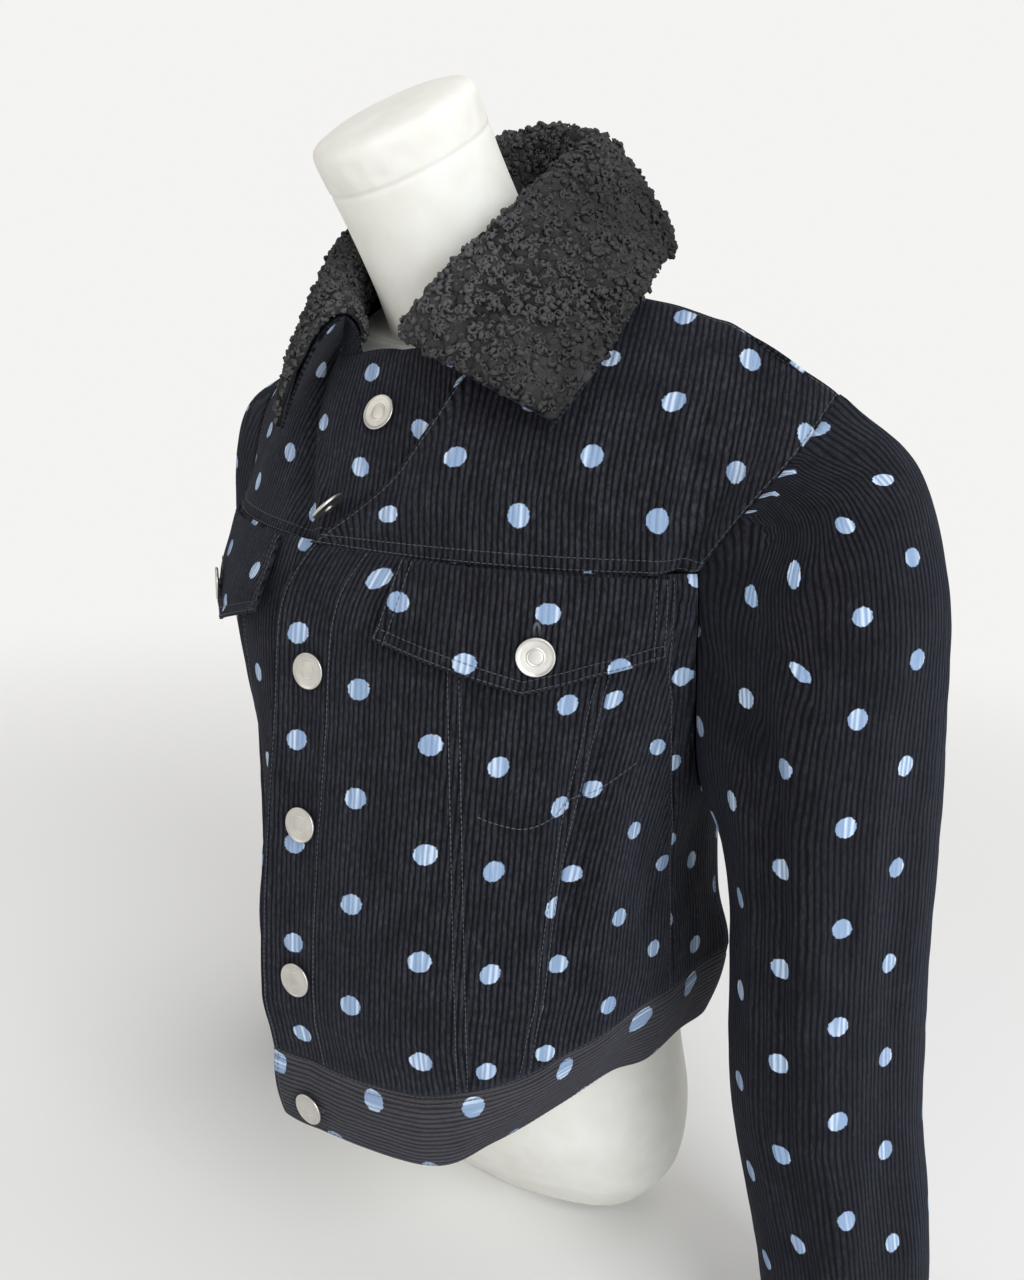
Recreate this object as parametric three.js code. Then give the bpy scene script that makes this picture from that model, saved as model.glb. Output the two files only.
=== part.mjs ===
// A short corduroy jacket on a limbless dress form, in millimetres, +Z up.
// The front faces -Y and the wearer's left is +X. The wearer's left front laps over the right.
// Angles round the body are degrees from the front, positive towards the wearer's left.
import * as THREE from 'three';

const wall = 2.0;
const seamGap = 0.3;
const yokeSeamZ = 478;
const bandHeight = 52;
const bandWall = 3.0;
const lapInset = 5.5;
const leftEdgeProud = 0.2;
const buttonRadius = 10;
const flapStandOff = 0.9;
const underCollarWall = 1.6;
const pileWall = 8.0;
const neckLift = 1.2;

// Cross-sections of the body: half width, front depth, back depth,
// and how square the left front, right front and back corners are.
const rings = [
  // z, halfWidth, front, back, leftFront, rightFront, rearCorner
  [170, 150, 144, 142, 2.7, 1.6, 2.3],
  [190, 154, 148, 143, 2.6, 1.55, 2.3],
  [215, 158, 153, 146, 2.5, 1.5, 2.3],
  [260, 156, 153, 147, 2.4, 1.45, 2.3],
  [300, 153, 151, 147, 2.3, 1.45, 2.3],
  [345, 160, 148, 146, 2.1, 1.5, 2.2],
  [385, 167, 145, 143, 2.0, 1.68, 2.2],
  [438, 179, 142, 138, 1.9, 1.82, 2.1],
  [465, 186, 134, 135, 1.9, 1.72, 2.1],
  [486, 189, 124, 131, 1.9, 1.65, 2.1],
];

// Largest folds of the body: where they lie, how far they spread and how deep they go.
const folds = [
  // angle, z, halfAngle, halfHeight, depth
  [57, 330, 3.4, 95, -5],
  [66, 300, 5, 80, 3],
  [-50, 330, 5, 80, -4],
  [-84, 300, 7, 80, -5],
  [96, 300, 7, 80, -4],
  [112, 224, 6, 26, 10],
  [135, 330, 9, 110, 5],
  [160, 290, 8, 90, -4],
  [-128, 310, 9, 100, -6],
  [-155, 300, 8, 100, 4],
];

// Lower edge of the waistband.
const hemRows = [
  // angle, x, y, z
  [-180, 0, 140, 166],
  [-150, -78, 126, 166],
  [-120, -132, 76, 168],
  [-90, -144, 0, 168],
  [-60, -112, -62, 160],
  [-30, -64, -112, 138],
  [-10, -26, -133, 127],
  [0, 0, -139, 127],
  [30, 77, -127, 134],
  [45, 104, -101, 148],
  [60, 125, -72, 165],
  [75, 138, -37, 175],
  [90, 146, 0, 172],
  [120, 134, 78, 172],
  [150, 80, 126, 168],
  [180, 0, 140, 166],
];

// Panel seams that run down the body: their angle at each height.
const seamRows = {
  left: {
    centre: [[190, 39.5], [420, 35]],
    chest: [[190, 50], [245, 53], [415, 61.5], [480, 63]],
    side: [[190, 86], [286, 87], [410, 75.2], [455, 72.2], [480, 71.5]],
    rear: [[190, 112], [480, 112]],
  },
  right: {
    centre: [[190, -39.5], [420, -35]],
    chest: [[190, -50], [245, -53], [415, -61.5], [480, -63]],
    side: [[190, -86], [286, -87], [410, -79], [480, -75.5]],
    rear: [[190, -113], [480, -113]],
  },
};

// Armhole: its middle and half width in degrees, and how far it drops below the yoke seam.
const armholes = {
  left: { middle: 95, half: 20, drop: 133 },
  right: { middle: -97.5, half: 18.5, drop: 133 },
};

// Yokes: the angle where each column starts on the yoke seam, then three points up the column.
const leftYoke = [
  // angle, lower x y z, upper x y z, top x y z
  [-6.4, 20, -109, 510, 36, -97, 538, 48, -88, 566],
  [11.4, 44, -113, 512, 53, -95, 545, 58, -70, 580],
  [28.8, 72, -106, 515, 75, -82, 552, 72, -38, 598],
  [45.5, 104, -94, 520, 101, -66, 562, 92, 0, 614],
  [58.7, 136, -78, 520, 132, -50, 562, 128, 0, 608],
  [68.4, 165, -54, 518, 168, -34, 556, 170, 1, 594],
  [75, 196, -50, 510, 212, -30, 540, 216, 4, 568],
];
const rightYoke = [
  [12, 38, -102, 510, 46, -89, 538, 54, -78, 564],
  [0, 0, -110, 507, 0, -95, 540, 0, -78, 580],
  [-9.5, -30, -104, 512, -44, -87, 545, -58, -64, 577],
  [-28.6, -68, -88, 515, -76, -62, 552, -80, -33, 597],
  [-48, -104, -76, 520, -100, -48, 562, -92, 0, 614],
  [-64, -138, -52, 518, -134, -28, 560, -126, 8, 606],
  [-73, -166, -32, 518, -168, -8, 556, -162, 18, 593],
  [-79, -184, -22, 510, -194, -2, 542, -198, 30, 566],
];
const backYoke = [
  [115, 182, 76, 510, 202, 58, 542, 216, 4, 568],
  [127, 156, 98, 518, 164, 70, 558, 170, 1, 594],
  [141, 115, 114, 522, 122, 80, 570, 128, 0, 608],
  [156, 72, 126, 525, 78, 88, 582, 92, 0, 614],
  [167, 42, 130, 526, 50, 96, 594, 60, 38, 630],
  [180, 0, 131, 527, 0, 100, 598, 0, 56, 640],
  [193, -42, 130, 526, -50, 96, 594, -60, 38, 630],
  [204, -72, 126, 525, -78, 90, 582, -92, 0, 614],
  [219, -113, 118, 522, -120, 86, 570, -126, 8, 606],
  [233, -146, 106, 518, -156, 82, 556, -162, 18, 593],
  [244, -172, 90, 510, -190, 70, 542, -198, 30, 566],
];

// Sleeve rings after the armhole: centre, rise of the outer side, half width and half depth.
const leftSleeve = [
  // along, x, y, z, rise, halfWidth, halfDepth
  [0.08, 206, 9, 446, 100, 39, 61],
  [0.16, 217, 10, 428, 90, 47, 64],
  [0.26, 227, 10, 400, 68, 51, 66],
  [0.38, 233, 11, 362, 40, 51, 67],
  [0.5, 238, 12, 315, 18, 50, 66],
  [0.62, 241, 14, 260, 4, 50, 66],
  [0.76, 247, 15, 191, 0, 50, 64],
  [0.89, 264, 15, 116, 0, 47, 59],
  [1, 274, 15, 54, 0, 43, 53],
];
const rightSleeve = [
  [0.08, -200, 34, 446, 98, 34, 54],
  [0.16, -206, 46, 428, 88, 39, 56],
  [0.26, -210, 55, 400, 66, 43, 58],
  [0.38, -209, 65, 362, 38, 45, 60],
  [0.5, -205, 71, 315, 18, 47, 61],
  [0.62, -206, 75, 260, 4, 48, 62],
  [0.76, -207, 78, 191, 0, 48, 61],
  [0.89, -209, 80, 116, 0, 45, 57],
  [1, -211, 82, 54, 0, 42, 52],
];

// Long folds of a sleeve: angle round it, drift of that angle down the sleeve,
// half angle and depth; then the stretch of the sleeve where the fold is.
const sleeveFolds = [
  // angle, drift, halfAngle, depth, from, to
  [78, -14, 12, 6, 0.05, 1],
  [112, -22, 12, 7, 0.1, 0.8],
  [96, -20, 9, -3, 0.1, 0.95],
  [205, 10, 16, -6, 0.15, 0.9],
  [262, 8, 13, 5, 0.1, 0.95],
  [310, -6, 15, -5, 0.2, 0.9],
  [20, 10, 18, -4, 0.25, 1],
];

// Collar sections from the left front end round the back: place on the neckline, roll and outer edge.
// The neckline counts the columns of the left yoke to 3, of the back yoke to 7, then of the right yoke.
const collarRows = [
  // neck, roll x y z, edge x y z
  [0.4, 25, -95, 582, 114, -91, 549],
  [1, 38, -80, 610, 119, -65, 575],
  [2, 52, -50, 642, 113, -24, 606],
  [3.2, 54, -4, 676, 99, 12, 624],
  [4, 44, 34, 692, 78, 60, 642],
  [5, 0, 50, 704, 0, 88, 648],
  [6, -46, 34, 692, -84, 62, 636],
  [6.8, -66, 0, 672, -106, 16, 622],
  [8, -76, -34, 640, -106, -27, 602],
  [8.8, -64, -62, 612, -94, -63, 567],
  [9.4, -50, -82, 590, -82, -89, 532],
];

// Dress form: rings of the torso, then the leaning neck.
const formRows = [
  // z, centreY, halfWidth, front, back, squareness, slope down to the front
  [0, 56, 68, 35, 38, 2.3, 0],
  [6, 56, 88, 39, 49, 2.3, 0],
  [22, 54, 116, 52, 64, 2.3, 0],
  [50, 50, 135, 70, 79, 2.3, 0],
  [95, 44, 140, 92, 86, 2.3, 0],
  [145, 38, 133, 96, 90, 2.2, 0],
  [190, 36, 133, 96, 92, 2.2, 0],
  [260, 34, 124, 92, 95, 2.2, 0],
  [320, 30, 110, 86, 95, 2.2, 0],
  [400, 24, 122, 96, 99, 2.2, 0],
  [450, 14, 132, 98, 102, 2.1, 0],
  [505, 6, 142, 84, 94, 2.1, 0],
  [548, 2, 137, 68, 78, 2.1, 0.05],
  [580, 2, 121, 53, 58, 2.1, 0.15],
  [596.5, 1, 104, 50, 46, 2.0, 0.3],
  [605, -4, 84, 46, 41, 2.0, 0.5],
];
const neckRadius = 48;
const neckBase = [-10, -9, 612];
const neckTop = [-22, -66, 702];

function lerp(a, b, t) {
  return a + (b - a) * t;
}

// Smooth curve through the rows of a table, at row number t.
function spline(rows, t) {
  const last = rows.length - 1;
  const s = Math.min(Math.max(t, 0), last - 1e-9);
  const i = Math.floor(s);
  const f = s - i;
  const row = (k) => {
    if (k < 0) return rows[0].map((v, c) => 2 * v - rows[1][c]);
    if (k > last) return rows[last].map((v, c) => 2 * v - rows[last - 1][c]);
    return rows[k];
  };
  const p = row(i - 1);
  const q = row(i);
  const r = row(i + 1);
  const w = row(i + 2);
  return q.map((v, c) => 0.5 * (2 * v + (r[c] - p[c]) * f
    + (2 * p[c] - 5 * v + 4 * r[c] - w[c]) * f * f
    + (3 * v - p[c] - 3 * r[c] + w[c]) * f * f * f));
}

// Smooth look-up of a table by its first column.
function lookUp(rows, key) {
  const last = rows.length - 1;
  if (key <= rows[0][0]) return rows[0].slice(1);
  if (key >= rows[last][0]) return rows[last].slice(1);
  let i = 0;
  while (rows[i + 1][0] < key) i += 1;
  const f = (key - rows[i][0]) / (rows[i + 1][0] - rows[i][0]);
  return spline(rows.map((r) => r.slice(1)), i + f);
}

function bell(x) {
  return Math.exp(-x * x);
}

function wrapDeg(deg) {
  return deg > 180 ? deg - 360 : deg < -180 ? deg + 360 : deg;
}

const toRad = Math.PI / 180;

function ringRadius(deg, z) {
  const [halfWidth, front, back, leftN, rightN, rearN] = lookUp(rings, z);
  const s = Math.sin(deg * toRad);
  const c = Math.cos(deg * toRad);
  const n = c < 0 ? rearN : s >= 0 ? leftN : rightN;
  const depth = c < 0 ? back : front;
  let r = (Math.abs(s / halfWidth) ** n + Math.abs(c / depth) ** n) ** (-1 / n);
  for (const [angle, height, halfAngle, halfHeight, amount] of folds) {
    r += amount * bell((deg - angle) / halfAngle) * bell((z - height) / halfHeight);
  }
  return r;
}

// Outer surface of the body. lap is 'over' for the left front and 'under' for the right.
function body(angle, z, lap) {
  const deg = wrapDeg(angle);
  if (lap === 'over' && deg < 0 && deg > -30) {
    const r = ringRadius(0, z);
    const x = r * Math.sin(deg * toRad);
    return [x, -(r + leftEdgeProud * Math.abs(x)), z];
  }
  let r = ringRadius(deg, z);
  if (lap === 'under' && deg > -60 && deg < 40) r -= lapInset * bell(Math.min(0, deg) / 12);
  return [r * Math.sin(deg * toRad), -r * Math.cos(deg * toRad), z];
}

function minus(a, b) {
  return [a[0] - b[0], a[1] - b[1], a[2] - b[2]];
}

function plus(a, b, k) {
  return [a[0] + b[0] * k, a[1] + b[1] * k, a[2] + b[2] * k];
}

function cross(a, b) {
  return [a[1] * b[2] - a[2] * b[1], a[2] * b[0] - a[0] * b[2], a[0] * b[1] - a[1] * b[0]];
}

function unit(a) {
  const n = Math.hypot(a[0], a[1], a[2]) || 1;
  return [a[0] / n, a[1] / n, a[2] / n];
}

function bodyNormal(deg, z, lap) {
  const across = minus(body(deg + 0.6, z, lap), body(deg - 0.6, z, lap));
  const up = minus(body(deg, z + 2, lap), body(deg, z - 2, lap));
  return unit(cross(across, up));
}

// Height of the top edge of the lower panels.
function panelTop(deg, side) {
  const { middle, half, drop } = armholes[side];
  const t = (deg - middle) / half;
  return yokeSeamZ - drop * Math.max(0, 1 - t * t) ** 0.85;
}

function hemPoint(angle) {
  const deg = wrapDeg(angle);
  const [x, y, z] = lookUp(hemRows, deg);
  const r = Math.hypot(x, y);
  const k = 1 + (7 * bell((deg - 112) / 6)) / r;
  return [x * k, y * k, z];
}

function bandTop(deg) {
  return hemPoint(deg)[2] + bandHeight;
}

// Closed wall between an outer and an inner grid of points. wrap joins the last column to the first.
function wallMesh(name, outer, inner, wrap, material) {
  const rows = outer.length;
  const cols = outer[0].length;
  const points = [...outer.flat(), ...inner.flat()];
  const base = rows * cols;
  const at = (i, j, k) => k * base + i * cols + (j % cols);
  const faces = [];
  const quad = (a, b, c, d) => faces.push([a, b, c], [a, c, d]);
  const spans = wrap ? cols : cols - 1;
  for (let i = 0; i < rows - 1; i += 1) {
    for (let j = 0; j < spans; j += 1) {
      quad(at(i, j, 0), at(i, j + 1, 0), at(i + 1, j + 1, 0), at(i + 1, j, 0));
      quad(at(i, j, 1), at(i + 1, j, 1), at(i + 1, j + 1, 1), at(i, j + 1, 1));
    }
  }
  for (let j = 0; j < spans; j += 1) {
    quad(at(0, j, 0), at(0, j, 1), at(0, j + 1, 1), at(0, j + 1, 0));
    quad(at(rows - 1, j, 0), at(rows - 1, j + 1, 0), at(rows - 1, j + 1, 1), at(rows - 1, j, 1));
  }
  if (!wrap) {
    for (let i = 0; i < rows - 1; i += 1) {
      quad(at(i, 0, 0), at(i + 1, 0, 0), at(i + 1, 0, 1), at(i, 0, 1));
      quad(at(i, cols - 1, 0), at(i, cols - 1, 1), at(i + 1, cols - 1, 1), at(i + 1, cols - 1, 0));
    }
  }
  return meshOf(name, points, faces, material);
}

// Mesh from points and faces, turned outward by the sign of its volume.
function meshOf(name, points, faces, material) {
  let volume = 0;
  for (const [a, b, c] of faces) {
    const n = cross(points[a], points[b]);
    volume += n[0] * points[c][0] + n[1] * points[c][1] + n[2] * points[c][2];
  }
  const index = volume < 0 ? faces.map(([a, b, c]) => [a, c, b]) : faces;
  const geometry = new THREE.BufferGeometry();
  geometry.setAttribute('position', new THREE.Float32BufferAttribute(points.flat(), 3));
  geometry.setIndex(index.flat());
  geometry.computeVertexNormals();
  const mesh = new THREE.Mesh(geometry, material.clone());
  mesh.name = name;
  return mesh;
}

// Wall whose inner side lies a given thickness behind points that carry a normal.
function wallFrom(name, grid, thickness, wrap, material) {
  const outer = grid.map((row) => row.map((v) => v.p));
  const inner = grid.map((row) => row.map((v) => plus(v.p, v.n, -thickness)));
  return wallMesh(name, outer, inner, wrap, material);
}

const corduroy = new THREE.MeshStandardMaterial({ color: 0x1d1e26, roughness: 0.9 });
const sherpa = new THREE.MeshStandardMaterial({ color: 0x17171a, roughness: 1 });
const metal = new THREE.MeshStandardMaterial({ color: 0xb9b4aa, roughness: 0.35, metalness: 0.9 });
const formCloth = new THREE.MeshStandardMaterial({ color: 0xe9e4d8, roughness: 0.85 });

const group = new THREE.Group();
group.name = 'corduroy_jacket';

// Angles of the panel columns at the waistband, which its upper edge shares.
const bandFeet = [];

function columnFoot(angleAt) {
  let deg = angleAt(230);
  for (let k = 0; k < 12; k += 1) deg = angleAt(bandTop(deg) + seamGap);
  return deg;
}

const panelRows = [0, 0.07, 0.18, 0.32, 0.47, 0.61, 0.75, 0.88, 1];

// A lower panel between two seams. Its columns are named by their angle at the top edge.
function lowerPanel(name, side, startRows, endRows, topAngles, lap) {
  const edge = (rows, z) => lookUp(rows, z)[0];
  const columns = topAngles.map((top, j) => {
    const zTop = panelTop(top, side);
    const a = edge(startRows, zTop);
    const b = edge(endRows, zTop);
    return { share: j === 0 ? 0 : j === topAngles.length - 1 ? 1 : (top - a) / (b - a), zTop };
  });
  const halfGap = (deg, z) => (seamGap / 2 / ringRadius(wrapDeg(deg), z)) / toRad;
  columns.forEach((column) => {
    const angleAt = (z) => lerp(edge(startRows, z), edge(endRows, z), column.share);
    const foot = columnFoot(angleAt);
    column.low = bandTop(foot) + seamGap;
    bandFeet.push(side === 'left' ? foot - 360 : foot);
  });
  const grid = panelRows.map((v) => columns.map(({ share, zTop, low }, j) => {
    const z = lerp(low, zTop, v);
    const a = edge(startRows, z);
    const b = edge(endRows, z);
    let deg = a + share * (b - a);
    const turn = Math.sign(b - a) * halfGap(deg, z);
    if (j === 0) deg += turn;
    if (j === columns.length - 1) deg -= turn;
    return { p: body(deg, z, lap), n: bodyNormal(deg, z, lap) };
  }));
  group.add(wallFrom(name, grid, wall, false, corduroy));
}

const leftEdge = [170, 430, 455, 478].map((z, i) => {
  const x = [25, 25, 23, 14][i];
  return [z, -Math.asin(x / ringRadius(0, z)) / toRad];
});
const rightEdge = [[170, 10.5], [430, 10.5], [478, 12]];
const left = seamRows.left;
const right = seamRows.right;

lowerPanel('left_centre_panel', 'left', leftEdge, left.centre, [-6.4, 0, 8, 16, 24, 31, 35], 'over');
lowerPanel('left_v_panel', 'left', left.centre, left.chest, [35, 41, 47, 52, 57, 63], 'over');
lowerPanel('left_side_panel', 'left', left.chest, left.side, [63, 65.5, 68.5, 71.6], 'over');
lowerPanel('left_underarm_panel', 'left', left.side, left.rear,
  [71.6, 75, 76, 78, 81, 85.5, 90, 95, 100, 105, 109, 112], 'over');
lowerPanel('right_centre_panel', 'right', rightEdge, right.centre, [12, 5, -3, -10, -18, -27, -35], 'under');
lowerPanel('right_v_panel', 'right', right.centre, right.chest, [-35, -41, -47, -52, -57, -63], 'under');
lowerPanel('right_side_panel', 'right', right.chest, right.side, [-63, -67, -71, -75.6], 'under');
lowerPanel('right_underarm_panel', 'right', right.side, right.rear,
  [-75.6, -79, -80, -82, -85, -89, -93.5, -98, -103, -107, -110.5, -113], 'under');

// Back panel: it runs from the left rear seam round to the right one.
const backAngles = [112, 113.6, 115, 123, 132, 141, 150, 160, 170, 180,
  190, 200, 210, 219, 228, 237, 244, 245.6, 247];
const backGrid = panelRows.map((v) => backAngles.map((deg, j) => {
  const zTop = deg < 180 ? panelTop(deg, 'left') : panelTop(deg - 360, 'right');
  const z = lerp(bandTop(deg) + seamGap, zTop, v);
  const turn = (seamGap / 2 / ringRadius(wrapDeg(deg), z)) / toRad;
  const own = j === 0 ? deg + turn : j === backAngles.length - 1 ? deg - turn : deg;
  return { p: body(own, z, 'over'), n: bodyNormal(own, z, 'over') };
}));
group.add(wallFrom('back_panel', backGrid, wall, false, corduroy));

// The top edge of a yoke is smooth along the neck and along each shoulder, with a corner between.
const topStretches = new Map([
  [leftYoke, [[0, 3], [3, 6]]],
  [rightYoke, [[0, 4], [4, 7]]],
  [backYoke, [[0, 3], [3, 7], [7, 10]]],
]);

function yokeTop(table, across) {
  const stretch = topStretches.get(table).find(([from, to]) => across >= from - 1e-6 && across <= to + 1e-6);
  const rows = table.slice(stretch[0], stretch[1] + 1).map((r) => r.slice(7, 10));
  return spline(rows, across - stretch[0]);
}

// Yoke surface: u runs across the columns of its table and v from the yoke seam up.
function yokePoint(table, u, v, lap) {
  const across = u * (table.length - 1);
  const deg = spline(table.map((r) => [r[0]]), across)[0];
  const foot = body(deg, yokeSeamZ + seamGap, lap);
  const row = spline(table.map((r) => r.slice(1, 7)), across);
  const column = [foot, row.slice(0, 3), row.slice(3, 6), yokeTop(table, across)];
  return spline(column, v * 3);
}

function yokeNormal(table, u, v, lap) {
  const du = 0.004;
  const dv = 0.01;
  const a = yokePoint(table, Math.min(1, u + du), v, lap);
  const b = yokePoint(table, Math.max(0, u - du), v, lap);
  const c = yokePoint(table, u, Math.min(1, v + dv), lap);
  const d = yokePoint(table, u, Math.max(0, v - dv), lap);
  const n = unit(cross(minus(a, b), minus(c, d)));
  const p = yokePoint(table, u, v, lap);
  const outward = n[0] * p[0] + n[1] * p[1] + n[2] * 120 > 0;
  return outward ? n : n.map((k) => -k);
}

const yokeRowsAt = [0, 0.17, 0.34, 0.5, 0.67, 0.84, 1];

// At the yoke seam a yoke shares the body's normal, and at the shoulder seam one for both yokes.
function yokeGrid(table, steps, lap, isBack) {
  return yokeRowsAt.map((v) => Array.from({ length: steps + 1 }, (_, j) => {
    const u = j / steps;
    let p = yokePoint(table, u, v, lap);
    let n = yokeNormal(table, u, v, lap);
    if (v === 0) {
      const deg = spline(table.map((r) => [r[0]]), u * (table.length - 1))[0];
      n = bodyNormal(deg, yokeSeamZ, lap);
    }
    if (v === 1 && Math.abs(p[0]) > 85) {
      n = unit([0.3 * Math.sign(p[0]), 0, 0.95]);
      if (isBack) p = plus(p, [0, 1, 0], seamGap);
    }
    return { p, n };
  }));
}

const leftYokeGrid = yokeGrid(leftYoke, 18, 'over', false);
const rightYokeGrid = yokeGrid(rightYoke, 21, 'under', false);
const backYokeGrid = yokeGrid(backYoke, 30, 'over', true);
group.add(wallFrom('left_front_yoke', leftYokeGrid, wall, false, corduroy));
group.add(wallFrom('right_front_yoke', rightYokeGrid, wall, false, corduroy));
group.add(wallFrom('back_yoke', backYokeGrid, wall, false, corduroy));

// Waistband: one strip from the right end, under the left, round the back to the left end.
backAngles.forEach((deg) => bandFeet.push(deg - 360));
const bandAngles = bandFeet.sort((a, b) => b - a).filter((deg, i, all) => i === 0 || all[i - 1] - deg > 0.5);
const bandGrid = [0, 0.33, 0.67, 1].map((v) => bandAngles.map((turn) => {
  const deg = wrapDeg(turn);
  const lap = turn > -60 ? 'under' : 'over';
  const zTop = bandTop(deg);
  const top = body(deg, zTop, lap);
  const hem = hemPoint(deg);
  let foot = hem;
  if (lap === 'under') {
    const r = Math.hypot(hem[0], hem[1]);
    const k = 1 - (lapInset * bell(Math.min(0, deg) / 12)) / r;
    foot = [hem[0] * k, hem[1] * k, hem[2]];
  } else if (deg < 0 && deg > -30) {
    foot = [-Math.abs(25 * (deg / 9.6)), hemPoint(0)[1] - 2.5 * (Math.abs(deg) / 9.6), hem[2]];
  }
  const flat = unit([top[0], top[1], 0]);
  const p = plus([0, 1, 2].map((k) => lerp(foot[k], top[k], v)), flat, 2.5 * Math.sin(Math.PI * v));
  const n = v === 1 ? bodyNormal(deg, zTop, lap) : null;
  return { p, n };
}));
bandGrid.forEach((row, i) => row.forEach((vertex, j) => {
  if (vertex.n) return;
  const a = row[Math.min(j + 1, row.length - 1)].p;
  const b = row[Math.max(j - 1, 0)].p;
  const n = unit(cross(minus(b, a), minus(bandGrid[i + 1][j].p, vertex.p)));
  vertex.n = n[0] * vertex.p[0] + n[1] * vertex.p[1] > 0 ? n : n.map((k) => -k);
}));
group.add(wallFrom('waistband', bandGrid, bandWall, false, corduroy));

// Armhole loop from the shoulder down the front, under the arm and up the back.
function armholeLoop(side) {
  const lap = side === 'left' ? 'over' : 'under';
  const front = side === 'left' ? leftYokeGrid : rightYokeGrid;
  const rearColumn = side === 'left' ? 0 : backYokeGrid[0].length - 1;
  const low = side === 'left'
    ? [75, 76, 78, 81, 85.5, 90, 95, 100, 105, 109, 112, 113.6, 115]
    : [-79, -80, -82, -85, -89, -93.5, -98, -103, -107, -110.5, -113, -114.4, -116];
  const loop = [];
  for (let i = front.length - 1; i > 0; i -= 1) loop.push(front[i][front[i].length - 1]);
  for (const deg of low) {
    const z = panelTop(deg, side);
    loop.push({ p: body(deg, z, lap), n: bodyNormal(deg, z, lap) });
  }
  for (let i = 1; i < backYokeGrid.length - 1; i += 1) loop.push(backYokeGrid[i][rearColumn]);
  return loop;
}

// Angle of each loop vertex round the sleeve tube: 0 outside, 90 front, 180 at the body, 270 back.
function tubeAngles(loop) {
  const lengths = [0];
  for (let i = 1; i <= loop.length; i += 1) {
    const step = minus(loop[i % loop.length].p, loop[i - 1].p);
    lengths.push(lengths[i - 1] + Math.hypot(...step));
  }
  let lowest = 0;
  loop.forEach((v, i) => {
    if (v.p[2] < loop[lowest].p[2]) lowest = i;
  });
  const total = lengths[loop.length];
  return loop.map((_, i) => (i <= lowest
    ? (180 * lengths[i]) / lengths[lowest]
    : 180 + (180 * (lengths[i] - lengths[lowest])) / (total - lengths[lowest])));
}

const sleeveStops = [0, 0.04, 0.08, 0.12, 0.17, 0.23, 0.3, 0.38, 0.46, 0.55, 0.64, 0.73, 0.82, 0.91, 1];

function sleevePoint(table, side, start, angle, t) {
  const sign = side === 'left' ? 1 : -1;
  const ring = (along, [x, y, z, rise, halfWidth, halfDepth]) => {
    let swell = 0;
    for (const [middle, drift, halfAngle, depth, from, to] of sleeveFolds) {
      const away = angle - (middle + drift * along);
      const near = Math.min(1, Math.max(0, (along - from) / 0.15)) * Math.min(1, Math.max(0, (to + 0.05 - along) / 0.1));
      swell += depth * near * bell(away / halfAngle);
    }
    const c = Math.cos(angle * toRad);
    const s = Math.sin(angle * toRad);
    return [x + sign * (halfWidth + swell) * c, y - (halfDepth + swell) * s, z + rise * c];
  };
  const rows = [[0, ...start], ...table.map((r) => [r[0], ...ring(r[0], r.slice(1))])];
  return lookUp(rows, t);
}

function sleeve(name, side, table, cuffName) {
  const loop = armholeLoop(side);
  const angles = tubeAngles(loop);
  const count = loop.length;
  const edge = loop.map((v, i) => {
    const along = minus(loop[(i + 1) % count].p, loop[(i + count - 1) % count].p);
    let out = unit(cross(v.n, along));
    const away = minus(v.p, [0, v.p[1] * 0.5, v.p[2] - 40]);
    if (out[0] * away[0] + out[1] * away[1] + out[2] * away[2] < 0) out = out.map((k) => -k);
    return plus(v.p, out, seamGap + 0.15);
  });
  const grid = sleeveStops.map((t) => loop.map((v, i) => ({ p: sleevePoint(table, side, edge[i], angles[i], t), n: null })));
  const facing = (i, j) => {
    const row = grid[i];
    const around = minus(row[(j + 1) % count].p, row[(j + count - 1) % count].p);
    const down = minus(grid[Math.min(i + 1, grid.length - 1)][j].p, grid[Math.max(i - 1, 0)][j].p);
    return unit(cross(around, down));
  };
  // The sleeve is one smooth tube, so one vertex on its outer side settles which way all of it faces.
  const turn = Math.sign(facing(grid.length - 1, 0)[0]) * (side === 'left' ? 1 : -1);
  grid.forEach((row, i) => row.forEach((vertex, j) => {
    const own = facing(i, j).map((k) => k * turn);
    vertex.n = i === 0 ? unit(plus(loop[j].n, own, 0.6)) : own;
    if (i === 1) vertex.n = unit(plus(own, loop[j].n, 0.4));
  }));
  group.add(wallFrom(name, grid, wall, true, corduroy));
  const last = table[table.length - 1];
  const cuff = [0, 0.5, 1].map((t) => angles.map((angle) => {
    const c = Math.cos(angle * toRad);
    const s = Math.sin(angle * toRad);
    const sign = side === 'left' ? 1 : -1;
    const shrink = 2 + 2 * t - 1.5 * Math.sin(Math.PI * t);
    const p = [last[1] + sign * (last[5] - shrink) * c, last[2] - (last[6] - shrink) * s,
      lerp(last[3] - seamGap - 0.3, 10, t)];
    return { p, n: unit([sign * c * last[6], -s * last[5], 0]) };
  }));
  group.add(wallFrom(cuffName, cuff, 3, true, corduroy));
}

sleeve('left_sleeve', 'left', leftSleeve, 'left_cuff');
sleeve('right_sleeve', 'right', rightSleeve, 'right_cuff');

// Point of the neckline, a little above the yokes.
function neckline(at) {
  const top = at <= 3 ? yokeTop(leftYoke, at) : at <= 7 ? yokeTop(backYoke, at) : yokeTop(rightYoke, 11 - at);
  return plus(top, [0, 0, 1], neckLift);
}

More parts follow.
